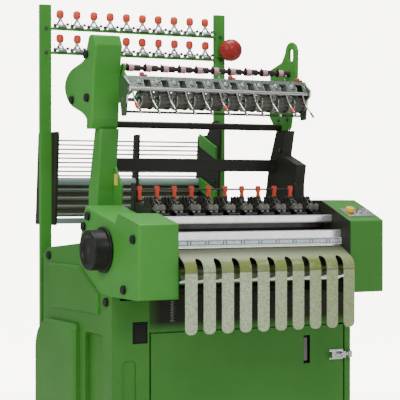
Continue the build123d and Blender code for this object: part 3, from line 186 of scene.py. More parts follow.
def ramp(tree, value, low, high, start=0.0, end=1.0):
    """Value that goes from start to end while another goes from low to high."""
    step = tree.nodes.new("ShaderNodeMapRange")
    for socket, limit in (("From Min", low), ("From Max", high), ("To Min", start), ("To Max", end)):
        step.inputs[socket].default_value = limit
    tree.links.new(value, step.inputs["Value"])
    return step.outputs["Result"]


def sums(tree, operation, first, second=0):
    """One step of arithmetic on sockets or numbers."""
    node = tree.nodes.new("ShaderNodeMath")
    node.operation = operation
    for socket, value in zip(node.inputs, (first, second)):
        if isinstance(value, (int, float)):
            socket.default_value = value
        else:
            tree.links.new(value, socket)
    return node.outputs["Value"]


def tint(tree, mask, under, over):
    """Colour that goes from under to over by a mask; each is a socket or a colour."""
    mix = tree.nodes.new("ShaderNodeMix")
    mix.data_type = "RGBA"
    tree.links.new(mask, mix.inputs["Factor"])
    for name, value in (("A", under), ("B", over)):
        if isinstance(value, tuple):
            mix.inputs[name].default_value = (*value, 1)
        else:
            tree.links.new(value, mix.inputs[name])
    return mix.outputs["Result"]


def tones(tree, value, colours, stops=(0.0, 1.0)):
    """Colour ramp between two colours."""
    tone = tree.nodes.new("ShaderNodeValToRGB")
    for stop, place, colour in zip(tone.color_ramp.elements, stops, colours):
        stop.position = place
        stop.color = (*colour, 1)
    tree.links.new(value, tone.inputs["Fac"])
    return tone.outputs["Color"]


def relief(tree, height, strength, depth):
    """Fine bumps of a depth in metres from a height."""
    bump = tree.nodes.new("ShaderNodeBump")
    bump.inputs["Strength"].default_value = strength
    bump.inputs["Distance"].default_value = depth
    tree.links.new(height, bump.inputs["Height"])
    return bump.outputs["Normal"]


def finish_with(tree, colour, roughness, normal):
    """Joins a colour, a roughness and fine bumps to the main shader."""
    shader = tree.nodes["Principled BSDF"]
    for socket, value in (("Base Color", colour), ("Roughness", roughness), ("Normal", normal)):
        tree.links.new(value, shader.inputs[socket])
    return shader


def skin_group():
    """Shader group for sprayed enamel: cloudy tone, fine peel height and settled dust."""
    group = bpy.data.node_groups.new("sprayed_skin", "ShaderNodeTree")
    for socket, value in (("Cloud Scale", 3.0), ("Peel Scale", peel_scale)):
        made = group.interface.new_socket(socket, in_out="INPUT", socket_type="NodeSocketFloat")
        made.default_value = value
    for socket in ("Cloud", "Peel", "Dust"):
        group.interface.new_socket(socket, in_out="OUTPUT", socket_type="NodeSocketFloat")
    entry = group.nodes.new("NodeGroupInput")
    leave = group.nodes.new("NodeGroupOutput")
    place = group.nodes.new("ShaderNodeTexCoord").outputs["Object"]
    cloud = noise(group, place, cloud_detail)
    peel = noise(group, place, peel_detail)
    speck = noise(group, place, speck_detail, speck_scale)
    dust = sums(group, "MULTIPLY", ramp(group, facing(group, "Z"), *dust_tilt), speck.outputs["Fac"])
    group.links.new(entry.outputs["Cloud Scale"], cloud.inputs["Scale"])
    group.links.new(entry.outputs["Peel Scale"], peel.inputs["Scale"])
    group.links.new(cloud.outputs["Fac"], leave.inputs["Cloud"])
    group.links.new(peel.outputs["Fac"], leave.inputs["Peel"])
    group.links.new(dust, leave.inputs["Dust"])
    return group


sprayed_skin = skin_group()


def enamel(name, dark, light, dusty, gloss, peel=0.11, cloud_scale=3.0):
    """Sprayed enamel between two tones, with dust on what faces up."""
    paint = bpy.data.materials.new(name)
    paint.use_nodes = True
    tree = paint.node_tree
    skin = tree.nodes.new("ShaderNodeGroup")
    skin.node_tree = sprayed_skin
    skin.inputs["Cloud Scale"].default_value = cloud_scale
    cloud = skin.outputs["Cloud"]
    clean = tones(tree, cloud, (dark, light), tone_stops)
    low_gloss, high_gloss = [gloss + part for part in gloss_spread]
    shader = finish_with(tree, tint(tree, skin.outputs["Dust"], clean, dusty),
                         ramp(tree, cloud, 0.0, 1.0, low_gloss, high_gloss),
                         relief(tree, skin.outputs["Peel"], peel, peel_height))
    shader.inputs["Specular IOR Level"].default_value = enamel_specular
    return paint


def two_tone(name, paint, mask, colour):
    """Copy of a paint that takes a second colour where a mask of its tree says so."""
    finish = paint.copy()
    finish.name = name
    tree = finish.node_tree
    shader = tree.nodes["Principled BSDF"]
    sprayed = shader.inputs["Base Color"].links[0].from_socket
    tree.links.new(tint(tree, mask(tree), sprayed, colour), shader.inputs["Base Color"])
    return finish


def apron_shade_mask(tree):
    """Painted shade on the apron behind the comb, fading to the left and towards its foot."""
    across, along, up = places(tree)
    sheet = sums(tree, "MULTIPLY", ramp(tree, along, *apron_front), ramp(tree, up, *apron_foot))
    return sums(tree, "MULTIPLY", sheet, ramp(tree, across, *apron_left))


def deck_shade_mask(tree):
    """Painted shade on the deck under the heads, in front of the hood."""
    return ramp(tree, places(tree)["Y"], *deck_edge)


def coat(node, paint, edge=0.0, turns=2):
    """Gives a CAD node its finish and, where asked, slightly rounded edges."""
    solid = nodes[node]
    for slot in solid.material_slots:
        slot.material = paint
    if edge:
        weld = solid.modifiers.new("weld", "WELD")
        weld.merge_threshold = weld_gap
        round_off = solid.modifiers.new("rounded_edges", "BEVEL")
        round_off.width = edge
        round_off.segments = turns
        round_off.limit_method = "ANGLE"
        round_off.angle_limit = sharp_edge
        round_off.harden_normals = True


def loom(x, y, z):
    """Point of the frame, in metres, from the loom's drawing millimetres."""
    return Vector(((x - drawing_middle[0]) / 1000, (y - drawing_middle[1]) / 1000, z / 1000))


def brick(shape, low, high, edge=0.0):
    """Adds a block between two corners, with edges rounded by some millimetres where asked."""
    verts = bmesh.ops.create_cube(shape, size=1.0)["verts"]
    bmesh.ops.scale(shape, vec=high - low, verts=verts)
    bmesh.ops.translate(shape, vec=(low + high) / 2, verts=verts)
    if edge:
        edges = list({line for vert in verts for line in vert.link_edges})
        bmesh.ops.bevel(shape, geom=edges, offset=edge / 1000, segments=2, profile=0.5, affect="EDGES")


def piece(name, shape, paint, body):
    """Turns a shape into a piece that moves with a body and takes a slot's finish."""
    mesh = bpy.data.meshes.new(name)
    shape.to_mesh(mesh)
    shape.free()
    mesh.materials.append(paint)
    made = bpy.data.objects.new(name, mesh)
    bpy.context.scene.collection.objects.link(made)
    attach(made, body)
    return made


green_enamel = enamel("green_enamel", (0.042, 0.22, 0.027), (0.064, 0.285, 0.043), (0.09, 0.40, 0.075), 0.34)
base_enamel = enamel("base_enamel", (0.036, 0.165, 0.021), (0.054, 0.21, 0.032), (0.08, 0.28, 0.06), 0.42)
for part in ("left_side", "right_side", "front_column", "belt_guard"):
    coat(part, base_enamel, 0.004)
# the apron and the deck's front half take a painted black shade
coat("cabinet_panels", two_tone("cabinet_enamel", base_enamel, apron_shade_mask, painted_shade_black))
coat("top_deck", two_tone("deck_enamel", base_enamel, deck_shade_mask, painted_shade_black), 0.004)

# Blanking plug: a black moulded square with a raised face, pressed into the front column's window.
# Its plastic is dull and a little dusty, and nothing else holds it.
plug_black = enamel("plug_black", (0.006, 0.006, 0.006), (0.014, 0.014, 0.013), (0.03, 0.03, 0.03), 0.5, 0.05)
plug_body = loom(74.6, 205.0, 616.6), loom(128.4, 216.0, 685.4)
plug_face = loom(82.0, 203.5, 624.0), loom(121.0, 206.0, 678.0)
plug = bmesh.new()
brick(plug, *plug_body, 2.5)
brick(plug, *plug_face, 1.0)
piece("window_plug", plug, plug_black, "machine")

# Front door: one folded steel pan on a hidden pin hinge, sprayed with the base, under a folded seal.
# Its recessed pull and barrel bolt are plated steel, screwed to the sheet.
# The pull's bow is dark in the shade of its black moulded cup.
streak_stretch = (4.0, 600.0, 600.0)
streak_detail = 3.0
streak_height = 0.0005
streak_shade = 0.8
smudge_scale = 28.0
smudge_detail = 6.0
smudge_gloss = (0.7, 1.4)
pull_side = (0.335, 0.334)
pull_dark = (0.16, 0.17, 0.16)
cup_walls = [
    (loom(719.1, 213.2, 518.6), loom(744.9, 214.9, 614.4)),
    (loom(719.1, 202.0, 518.6), loom(720.2, 213.4, 614.4)),
    (loom(743.8, 202.0, 518.6), loom(744.9, 213.4, 614.4)),
]
seal_corners = loom(140.0, 206.0, 647.2), loom(822.0, 214.0, 652.5)


def plated(name, colour, gloss, streak=0.05):
    """Bright metal with fine drawn streaks along the machine and faint finger marks."""
    finish = bpy.data.materials.new(name)
    finish.use_nodes = True
    tree = finish.node_tree
    place = tree.nodes.new("ShaderNodeTexCoord").outputs["Object"]
    stretch = tree.nodes.new("ShaderNodeMapping")
    stretch.inputs["Scale"].default_value = streak_stretch
    tree.links.new(place, stretch.inputs["Vector"])
    streaks = noise(tree, stretch.outputs["Vector"], streak_detail).outputs["Fac"]
    smudges = noise(tree, place, smudge_detail, smudge_scale).outputs["Fac"]
    low_gloss, high_gloss = [gloss * part for part in smudge_gloss]
    shaded = [part * streak_shade for part in colour]
    shader = finish_with(tree, tones(tree, streaks, (shaded, colour)),
                         ramp(tree, smudges, 0.0, 1.0, low_gloss, high_gloss),
                         relief(tree, streaks, streak, streak_height))
    shader.inputs["Metallic"].default_value = 1.0
    return finish


def pull_mask(tree):
    """The door pull, which is left of the bolt's guides."""
    return ramp(tree, places(tree)["X"], *pull_side)


chrome = plated("chrome_plate", (0.78, 0.80, 0.82), 0.13, 0.01)
steel = plated("ground_steel", (0.56, 0.57, 0.56), 0.3, 0.08)
guide_steel = plated("guide_steel", (0.74, 0.76, 0.78), 0.16, 0.01)
coat("door", base_enamel, 0.002)
for part in ("barrel_bolt", "bolt_keeper"):
    coat(part, chrome, 0.0008)
coat("door_hardware", two_tone("handle_steel", guide_steel, pull_mask, pull_dark), 0.0008)
cup = bmesh.new()
for low, high in cup_walls:
    brick(cup, low, high)
piece("pull_cup", cup, plug_black, "front_door")
seal = bmesh.new()
brick(seal, *seal_corners, 0.8)
piece("door_seal", seal, base_enamel, "machine")

# Belt drive: turned iron pulleys, a rubber V-belt and a finned motor behind the door.
# They are plain workshop finishes: oiled iron, black rubber and grey enamel.
iron = plated("oiled_iron", (0.12, 0.12, 0.125), 0.42, 0.12)
rubber = enamel("belt_rubber", (0.008, 0.008, 0.008), (0.02, 0.02, 0.02), (0.04, 0.04, 0.04), 0.75, 0.3)
motor_grey = enamel("motor_grey", (0.17, 0.185, 0.19), (0.24, 0.255, 0.26), (0.3, 0.3, 0.28), 0.5)
for part in ("drive_pulley", "motor_pulley"):
    coat(part, iron)
coat("drive_belt", rubber)
coat("motor", motor_grey)

# Gearbox covers: two iron castings, faired and sprayed; they meet in a notch at the top.
# Each is held from inside, so that only the thumb knobs of the side show.
for part in ("gearbox_front_cover", "gearbox_rear_cover"):
    coat(part, green_enamel, 0.0035, 3)

# Handwheel and thumb knobs: moulded black phenolic with a polished face, dulled by hands.
# The wheel is keyed to the main shaft; the levelling feet are the same moulding.
phenolic = enamel("black_phenolic", (0.006, 0.007, 0.006), (0.013, 0.014, 0.012), (0.03, 0.03, 0.03),
                  0.36, 0.03)
coat("handwheel", phenolic, 0.001)
for part in ("thumb_knobs", "levelling_feet"):
    coat(part, phenolic)

# Right gearbox: a faired casting with a black inner plate and a sloping brushed control panel.
# The button is moulded yellow plastic, the selector plated; the main shaft is blacked to its end.
black_enamel = enamel("black_enamel", (0.017, 0.0175, 0.013), (0.030, 0.030, 0.023), (0.06, 0.06, 0.05),
                      0.4, 0.08)
panel_sheet = plated("panel_sheet", (0.66, 0.68, 0.68), 0.34, 0.06)
button_yellow = enamel("button_yellow", (0.72, 0.44, 0.01), (0.8, 0.5, 0.02), (0.8, 0.55, 0.1), 0.32, 0.02)
coat("right_gearbox", base_enamel, 0.004, 3)
for part in ("inner_plate", "main_shaft"):
    coat(part, black_enamel)
coat("control_panel", panel_sheet, 0.0006)
coat("start_button", button_yellow)
coat("selector_knob", chrome, 0.0006)

# Breast bars: two ground steel bars across the front, bright from the warp that runs over them.
# The lower one carries an enamelled strip with a printed frame and marks at each head, and no numbers.
# The lower part of the upper bar is darkened with painted shade.
bars_box = ((-0.285, -0.4132, 0.924), (0.347, -0.3243, 1.027))
scale_front = -0.4105
mark_pitch = 0.065
mark_share = (0.055, 0.11)
frame_levels = (0.9485, 0.9365)
frame_line = 0.0009
strip_foot = 0.9335
print_edge = 0.0005
smear_scale = 45.0
smear_detail = 2.0
smear_share = (0.4, 0.65)
shade_band_top = (1.0085, 1.003)
shade_band_foot = (0.99, 0.995)
strip_worn, strip_white = (0.36, 0.45, 0.48), (0.70, 0.76, 0.78)
strip_ink = (0.06, 0.08, 0.09)
strip_edge = (0.92, 0.93, 0.93)
painted_shade_grey = (0.24, 0.23, 0.22)
bar_metal = 0.8
strip_enamel = 0.6


def box_shares(tree, low, high):
    """Object coordinates as shares of the box between two corners."""
    spot = tree.nodes.new("ShaderNodeTexCoord")
    fit = tree.nodes.new("ShaderNodeMapping")
    fit.inputs["Location"].default_value = [-start / (end - start) for start, end in zip(low, high)]
    fit.inputs["Scale"].default_value = [1 / (end - start) for start, end in zip(low, high)]
    tree.links.new(spot.outputs["Object"], fit.inputs["Vector"])
    return fit.outputs["Vector"]


bar_steel = plated("bar_steel", (0.96, 0.97, 0.97), 0.24, 0.04)
tree = bar_steel.node_tree
shader = tree.nodes["Principled BSDF"]
across, along, up = places(tree)
strip = ramp(tree, along, scale_front + print_edge, scale_front)
beat = sums(tree, "FRACT", sums(tree, "DIVIDE", across, mark_pitch))
off_mark = sums(tree, "ABSOLUTE", sums(tree, "SUBTRACT", beat, 0.5))
mark = sums(tree, "MULTIPLY", sums(tree, "LESS_THAN", off_mark, mark_share[1]),
            sums(tree, "GREATER_THAN", off_mark, mark_share[0]))
inside = sums(tree, "MULTIPLY", sums(tree, "LESS_THAN", up, frame_levels[0]),
              sums(tree, "GREATER_THAN", up, frame_levels[1]))
ink = sums(tree, "MULTIPLY", mark, inside)
for level in frame_levels:
    away = sums(tree, "ABSOLUTE", sums(tree, "SUBTRACT", up, level))
    ink = sums(tree, "MAXIMUM", ink, sums(tree, "LESS_THAN", away, frame_line))
smear = noise(tree, box_shares(tree, *bars_box), smear_detail, smear_scale)
wiped = tint(tree, ramp(tree, smear.outputs["Fac"], *smear_share), strip_worn, strip_white)
printed = tint(tree, ink, wiped, strip_ink)
edged = tint(tree, ramp(tree, up, strip_foot + print_edge, strip_foot), printed, strip_edge)
# painted shade on the lower part of the upper bar
under = sums(tree, "MULTIPLY", ramp(tree, up, *shade_band_top), ramp(tree, up, *shade_band_foot))
bare = shader.inputs["Base Color"].links[0].from_socket
shaded_bar_colour = tint(tree, under, bare, painted_shade_grey)
tree.links.new(tint(tree, strip, shaded_bar_colour, edged), shader.inputs["Base Color"])
metal = sums(tree, "SUBTRACT", bar_metal, sums(tree, "MULTIPLY", strip, strip_enamel))
tree.links.new(metal, shader.inputs["Metallic"])
coat("breast_bars", bar_steel, 0.0025, 3)

# Comb plate: one sheet bent over a rounded nose and cut into ten hanging fingers, under which a
# chromed roller draws the tapes. Its stoved pale enamel is speckled, olive on the nose by a different
# amount at every finger, darker and yellower towards the right, crossed by a painted shade line where the
# nose meets the fingers, and darkened with painted shade at the back, under the scale strip.
comb_box = ((-0.281, -0.4908, 0.661), (0.346, -0.3853, 0.924))
finger_pitch = 0.065
first_finger = -0.2925
finger_start = 3.0
finger_chance = (-0.3, 0.7)
patch_scale = 11.0
patch_detail = 2.0
patch_share = (0.25, 0.45)
seam_level = 0.8535
nose_foot = (seam_level - 0.0005, seam_level + 0.001)
nose_top = (0.898, 0.884)
seam_foot = (seam_level - 0.0038, seam_level - 0.0024)
seam_top = (seam_level + 0.0012, seam_level)
right_side_span = (-0.05, 0.35)
strip_shade_side = (-0.474, -0.43)
right_tone, right_tone_share = (0.15, 0.20, 0.03), 0.5
nose_olive, nose_olive_share = (0.14, 0.17, 0.012), 0.85
seam_shade_colour, seam_shade_share = (0.10, 0.11, 0.06), 0.8
strip_shade_olive, strip_shade_share = (0.055, 0.06, 0.03), 0.82
comb_pale = enamel("comb_pale", (0.25, 0.315, 0.18), (0.52, 0.61, 0.42), (0.40, 0.44, 0.31), 0.6, 0.2, 180.0)
tree = comb_pale.node_tree
shader = tree.nodes["Principled BSDF"]
across, along, up = places(tree)
patch = noise(tree, box_shares(tree, *comb_box), patch_detail, patch_scale)
chance = tree.nodes.new("ShaderNodeTexWhiteNoise")
chance.noise_dimensions = "1D"
number = sums(tree, "DIVIDE", sums(tree, "SUBTRACT", across, first_finger), finger_pitch)
tree.links.new(sums(tree, "FLOOR", sums(tree, "ADD", number, finger_start)), chance.inputs["W"])
share = ramp(tree, chance.outputs["Value"], *finger_chance)
spread = sums(tree, "MULTIPLY", ramp(tree, patch.outputs["Fac"], *patch_share), share)
nose = sums(tree, "MULTIPLY", ramp(tree, up, *nose_foot), ramp(tree, up, *nose_top))
# olive on the nose, in patches and by a different amount at every finger
olive_nose = sums(tree, "MULTIPLY", sums(tree, "MULTIPLY", nose, spread), nose_olive_share)
# a thin painted shade line where the nose meets the fingers
seam_shade = sums(tree, "MULTIPLY", ramp(tree, up, *seam_foot), ramp(tree, up, *seam_top))
# a darker, yellower tone towards the right
rightward = sums(tree, "MULTIPLY", ramp(tree, across, *right_side_span), right_tone_share)
# painted shade at the back of the comb's top, under the scale strip
strip_shade = sums(tree, "MULTIPLY", ramp(tree, along, *strip_shade_side), strip_shade_share)
colour = shader.inputs["Base Color"].links[0].from_socket
# the tone to the right, the olive on the nose, then the painted shade line and the painted shade at the back
for mask, overlay in ((rightward, right_tone), (olive_nose, nose_olive),
                   (sums(tree, "MULTIPLY", seam_shade, seam_shade_share), seam_shade_colour), (strip_shade, strip_shade_olive)):
    colour = tint(tree, mask, colour, overlay)
tree.links.new(colour, shader.inputs["Base Color"])
coat("comb_plate", comb_pale)
coat("takeoff_roller", plated("roller_chrome", (0.9, 0.92, 0.94), 0.1, 0.01))

# Weaving heads: ten black cast blocks on a bar, each with a dull steel tongue, a grey clamp block with
# screws, a spring and hooked wires over the tongue's tip, and four hooked lever plates.
# The slay with its reeds, the needles and the rods are oiled iron.
stations = [165.0 + 65.0 * index for index in range(10)]
head_spots = [loom(x, 180.0, 1030.0) for x in stations]
lever_spots = [loom(x, 214.0, 1030.0) for x in stations]
lever_thickness = 3.4
lever_sides = (-17.0, -8.5, 5.5, 13.0)
lever_outline = [(0, 14), (6, 30), (16, 36), (22, 54), (30, 60), (34, 52), (29, 46), (40, 40), (52, 58),
                 (60, 54), (56, 34), (78, 30), (84, 20), (84, 12)]
top_screw = [(0, 3.6), (3.0, 3.6), (3.6, 3.0)]
front_screw = [(0, 2.6), (1.6, 2.4)]


def near(x, y, z):
    """Point of a repeated item about its own origin, from millimetres."""
    return Vector((x, y, z)) / 1000


def skin(shape, rings):
    """Closes a row of rings of vertices with smooth sides and flat ends."""
    count = len(rings[0])
    for low, high in zip(rings, rings[1:]):
        for step in range(count):
            after = (step + 1) % count
            shape.faces.new((low[step], low[after], high[after], high[step])).smooth = True
    shape.faces.new(rings[0][::-1])
    shape.faces.new(rings[-1])


def turned(shape, base, along, profile, sides=20, flutes=0, depth=0.0):
    """Adds a turned solid from (length, radius) pairs in millimetres along a direction from a point."""
    turn = Vector(along).to_track_quat("Z", "Y")
    rings = []
    for length, radius in profile:
        ring = []
        for step in range(sides):
            angle = math.tau * step / sides
            reach = radius * (1 + depth * math.cos(flutes * angle))
            corner = near(reach * math.cos(angle), reach * math.sin(angle), length)
            ring.append(shape.verts.new(base + turn @ corner))
        rings.append(ring)
    skin(shape, rings)


def wire(shape, path, thickness, sides=6):
    """Adds a round wire of a thickness in millimetres through points."""
    rings = []
    across = (path[1] - path[0]).orthogonal().normalized()
    angles = [math.tau * step / sides for step in range(sides)]
    for index, spot in enumerate(path):
        ahead = (path[min(index + 1, len(path) - 1)] - path[max(index - 1, 0)]).normalized()
        across = (across - ahead * across.dot(ahead)).normalized()
        beside = ahead.cross(across)
        rings.append([shape.verts.new(spot + (across * math.cos(a) + beside * math.sin(a)) * thickness / 2000)
                      for a in angles])
    skin(shape, rings)


def flat(shape, rings):
    """Closes two rings of vertices as a plate with flat sides."""
    skin(shape, rings)
    for face in shape.faces:
        face.smooth = False


def slab(shape, outline, start, end):
    """Adds a plate with an outline of (y, z) millimetres about its origin, from start to end in X."""
    flat(shape, [[shape.verts.new(near(x, y, z)) for y, z in outline] for x in (start, end)])


def repeat_group():
    """Geometry group that puts an item on every point, turned a little at random, with its finish."""
    group = bpy.data.node_groups.new("repeat_item", "GeometryNodeTree")
    for socket, kind in (("Geometry", "Geometry"), ("Item", "Object"), ("Turn", "Vector"), ("Seed", "Int"),
                         ("Finish", "Material")):
        group.interface.new_socket(socket, in_out="INPUT", socket_type="NodeSocket" + kind)
    group.interface.new_socket("Geometry", in_out="OUTPUT", socket_type="NodeSocketGeometry")
    entry = group.nodes.new("NodeGroupInput")
    leave = group.nodes.new("NodeGroupOutput")
    item = group.nodes.new("GeometryNodeObjectInfo")
    put = group.nodes.new("GeometryNodeInstanceOnPoints")
    turn_back = group.nodes.new("ShaderNodeVectorMath")
    turn_back.operation = "SCALE"
    turn_back.inputs["Scale"].default_value = -1.0
    chance = group.nodes.new("FunctionNodeRandomValue")
    chance.data_type = "FLOAT_VECTOR"
    whole = group.nodes.new("GeometryNodeRealizeInstances")
    finish = group.nodes.new("GeometryNodeSetMaterial")
    links = group.links
    links.new(entry.outputs["Geometry"], put.inputs["Points"])
    links.new(entry.outputs["Item"], item.inputs["Object"])
    links.new(item.outputs["Geometry"], put.inputs["Instance"])
    links.new(entry.outputs["Turn"], turn_back.inputs[0])
    links.new(turn_back.outputs["Vector"], chance.inputs["Min"])
    links.new(entry.outputs["Turn"], chance.inputs["Max"])
    links.new(entry.outputs["Seed"], chance.inputs["Seed"])
    links.new(chance.outputs["Value"], put.inputs["Rotation"])
    links.new(put.outputs["Instances"], whole.inputs["Geometry"])
    links.new(whole.outputs["Geometry"], finish.inputs["Geometry"])
    links.new(entry.outputs["Finish"], finish.inputs["Material"])
    links.new(finish.outputs["Geometry"], leave.inputs["Geometry"])
    return group


repeat_item = repeat_group()


def repeated(name, item, spots, paint, body, turn=(0.0, 0.0, 0.0), seed=1):
    """One piece made of an item repeated on every spot."""
    item_mesh = bpy.data.meshes.new(name + "_item")
    item.to_mesh(item_mesh)
    item.free()
    pattern = bpy.data.objects.new(name + "_item", item_mesh)
    bpy.context.scene.collection.objects.link(pattern)
    spot_mesh = bpy.data.meshes.new(name + "_spots")
    spot_mesh.from_pydata(spots, [], [])
    made = bpy.data.objects.new(name, spot_mesh)
    bpy.context.scene.collection.objects.link(made)
    repeat = made.modifiers.new("repeat", "NODES")
    repeat.node_group = repeat_item
    values = {"Item": pattern, "Turn": turn, "Seed": seed, "Finish": paint}
    for socket in repeat_item.interface.items_tree:
        if socket.in_out == "INPUT" and socket.name in values:
            repeat[socket.identifier] = values[socket.name]
    solid = bpy.data.meshes.new_from_object(made.evaluated_get(bpy.context.evaluated_depsgraph_get()))
    made.modifiers.remove(repeat)
    made.data = solid
    bpy.data.objects.remove(pattern)
    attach(made, body)
    return made


head_grey = enamel("head_grey", (0.085, 0.085, 0.07), (0.19, 0.187, 0.155), (0.24, 0.24, 0.21),
                   0.36, 0.1, 40.0)
dull_steel = plated("dull_steel", (0.27, 0.27, 0.26), 0.34, 0.06)
coat("head_beam", black_enamel, 0.001)
coat("weaving_heads", black_enamel, 0.0012)
coat("guide_tongues", dull_steel, 0.0008)
for part in ("slay", "needle_bar", "feeler_rod", "return_spring"):
    coat(part, iron)
clamp = bmesh.new()
brick(clamp, near(-18.0, 1.0, 13.0), near(18.0, 17.0, 31.0), 2.0)
brick(clamp, near(-14.0, 16.0, 15.0), near(14.0, 34.0, 25.0), 1.5)
repeated("head_clamps", clamp, head_spots, head_grey, "machine")
levers = bmesh.new()
for start in lever_sides:
    slab(levers, lever_outline[::-1], start, start + lever_thickness)
repeated("head_levers", levers, lever_spots, black_enamel, "machine")
screws = bmesh.new()
for x in (-11.0, 11.0):
    turned(screws, near(x, 9.0, 30.9), (0, 0, 1), top_screw, 12)
    turned(screws, near(x, 1.1, 22.0), (0, -1, 0), front_screw, 12)
coil = [near(8.0 + 3.2 * math.cos(step * math.tau / 8), 24.0 + 0.55 * step,
             33.0 + 3.2 * math.sin(step * math.tau / 8) + 0.3 * step) for step in range(57)]
hook = [near(-8.0, 24.0, 27.0), near(-9.0, 34.0, 46.0), near(-7.0, 52.0, 58.0), near(-7.0, 66.0, 49.0)]
stay = [near(1.0, 20.0, 25.0), near(1.0, 40.0, 36.0), near(2.0, 70.0, 42.0)]
for path, thickness in ((coil, 1.1), (hook, 1.6), (stay, 2.2)):
    wire(screws, path, thickness)
repeated("head_screws", screws, head_spots, dull_steel, "machine")

# Feelers: ten moulded red paddles on their rod, waisted in the middle, that tip when a weft breaks.
# Each is pressed on the rod and stands a little askew.
red_plastic = enamel("red_plastic", (0.62, 0.06, 0.03), (0.74, 0.09, 0.05), (0.66, 0.15, 0.1), 0.32, 0.02)
paddle_outline = [(-3.5, -35), (6.0, -35), (8.2, -27), (5.0, -14), (7.6, -4), (8.6, 6), (6.4, 12),
                  (-6.0, 12), (-8.2, 6), (-7.0, -4), (-4.4, -14), (-6.2, -26)]
paddle_faces = (4.2, -4.2)
paddle_askew = (0.0, 0.0, 0.14)
paddle = bmesh.new()
flat(paddle, [[paddle.verts.new(near(x, y, z)) for x, z in paddle_outline] for y in paddle_faces])
feelers = repeated("feeler_paddles", paddle, [loom(x, 340.0, 1112.0) for x in stations], red_plastic,
                   "feelers", paddle_askew, 7)
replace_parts(feelers, "feeler_sticks")

# Upper works: green castings on the left, a green arm plate on a black column at the right,
# a black tie tube and a black box-section harness beam between them, all bolted up.
for part in ("left_column", "left_head", "lobe_cover"):
    coat(part, green_enamel, 0.005, 3)
for part in ("gusset", "right_arm", "feeder_brackets"):
    coat(part, green_enamel, 0.0015)
for part in ("right_column", "tie_tube", "beam_mount", "harness_beam"):
    coat(part, black_enamel, 0.0012)
bolt_head = [(0, 6.5), (4.2, 6.5), (5.0, 5.7)]
bolt_side = 788.0
bolt_places = [(392.0, 985.0), (392.0, 1090.0), (540.0, 985.0), (500.0, 1090.0), (470.0, 1250.0),
               (420.0, 1360.0), (480.0, 1360.0), (500.0, 1500.0)]
bolts = bmesh.new()
for y, z in bolt_places:
    turned(bolts, loom(bolt_side, y, z), (-1, 0, 0), bolt_head, 6)
piece("frame_bolts", bolts, iron, "machine")

# Label: a bare plate in yellow enamel, left without any print.
# It is glued to the gusset's left face.
label_corners = loom(126.2, 428.0, 1126.0), loom(127.0, 456.0, 1164.0)
label_yellow = enamel("label_yellow", (0.62, 0.5, 0.08), (0.7, 0.58, 0.12), (0.7, 0.6, 0.3), 0.4, 0.02)
label = bmesh.new()
brick(label, *label_corners, 0.3)
piece("bare_label", label, label_yellow, "machine")

# Weft feeder rail: folded sheet with an etched face, a bright rolled lip in front, end cheeks painted dark
# green as shade, and a dark stay rod. Three red clips sit on its top edge; every pocket has bent wire yarn
# guides and a plated yarn grip, screwed through the sheet.
rail_box = ((-0.3391, -0.2086, 1.352), (0.355, -0.1292, 1.4851))
etch_scale = 105.0
etch_share = (0.25, 0.6)
etch_dark, etch_light = (0.03, 0.045, 0.034), (0.36, 0.42, 0.36)
lip_top = (1.4462, 1.4462 + 0.0008)
lip_bright = (0.82, 0.84, 0.85)
stay_top = (1.40, 1.39)
stay_dark = (0.06, 0.075, 0.06)
cheek_facing = (0.85, 0.95)
cheek_shade_green = (0.022, 0.085, 0.016)
clip_sides = (155.6, 489.0, 755.9)
clip_profile = [(0, 6.0), (2, 8.4), (9, 8.8), (12, 7.4), (13.5, 4.5)]
top_guide = [(20.0, 298.0, 1484.0), (20.5, 302.0, 1494.0), (22.0, 306.0, 1502.0), (26.0, 306.0, 1506.0),
             (28.0, 303.0, 1501.0)]
lip_guide = [(-19.0, 268.0, 1446.0), (-20.0, 262.0, 1452.0), (-21.0, 264.0, 1462.0), (-20.0, 272.0, 1463.0)]
side_guide = [(18.0, 270.0, 1449.0), (17.0, 266.0, 1458.0), (14.0, 276.0, 1470.0)]
rail_slope = (0.0, -0.84, 0.545)
grip_profile = [(-1.0, 8.0), (1.6, 8.0), (2.4, 6.0), (3.2, 8.4), (4.4, 8.4), (5.0, 4.0), (9.0, 3.6)]
grip_screws = [((-10.0, -9.0, -14.0), [(-1.0, 3.0), (2.0, 3.0), (2.6, 2.2)]),
               ((8.0, 8.0, 13.0), [(-1.0, 2.6), (2.0, 2.6), (2.6, 2.0)])]
rail_sheet = plated("rail_sheet", (0.40, 0.45, 0.42), 0.4, 0.1)
tree = rail_sheet.node_tree
shader = tree.nodes["Principled BSDF"]
up = places(tree)["Z"]
etch = tree.nodes.new("ShaderNodeTexVoronoi")
etch.inputs["Scale"].default_value = etch_scale
tree.links.new(box_shares(tree, *rail_box), etch.inputs["Vector"])
etched = tint(tree, ramp(tree, etch.outputs["Distance"], *etch_share), etch_dark, etch_light)
bright = tint(tree, ramp(tree, up, *lip_top), lip_bright, etched)
stayed = tint(tree, ramp(tree, up, *stay_top), bright, stay_dark)
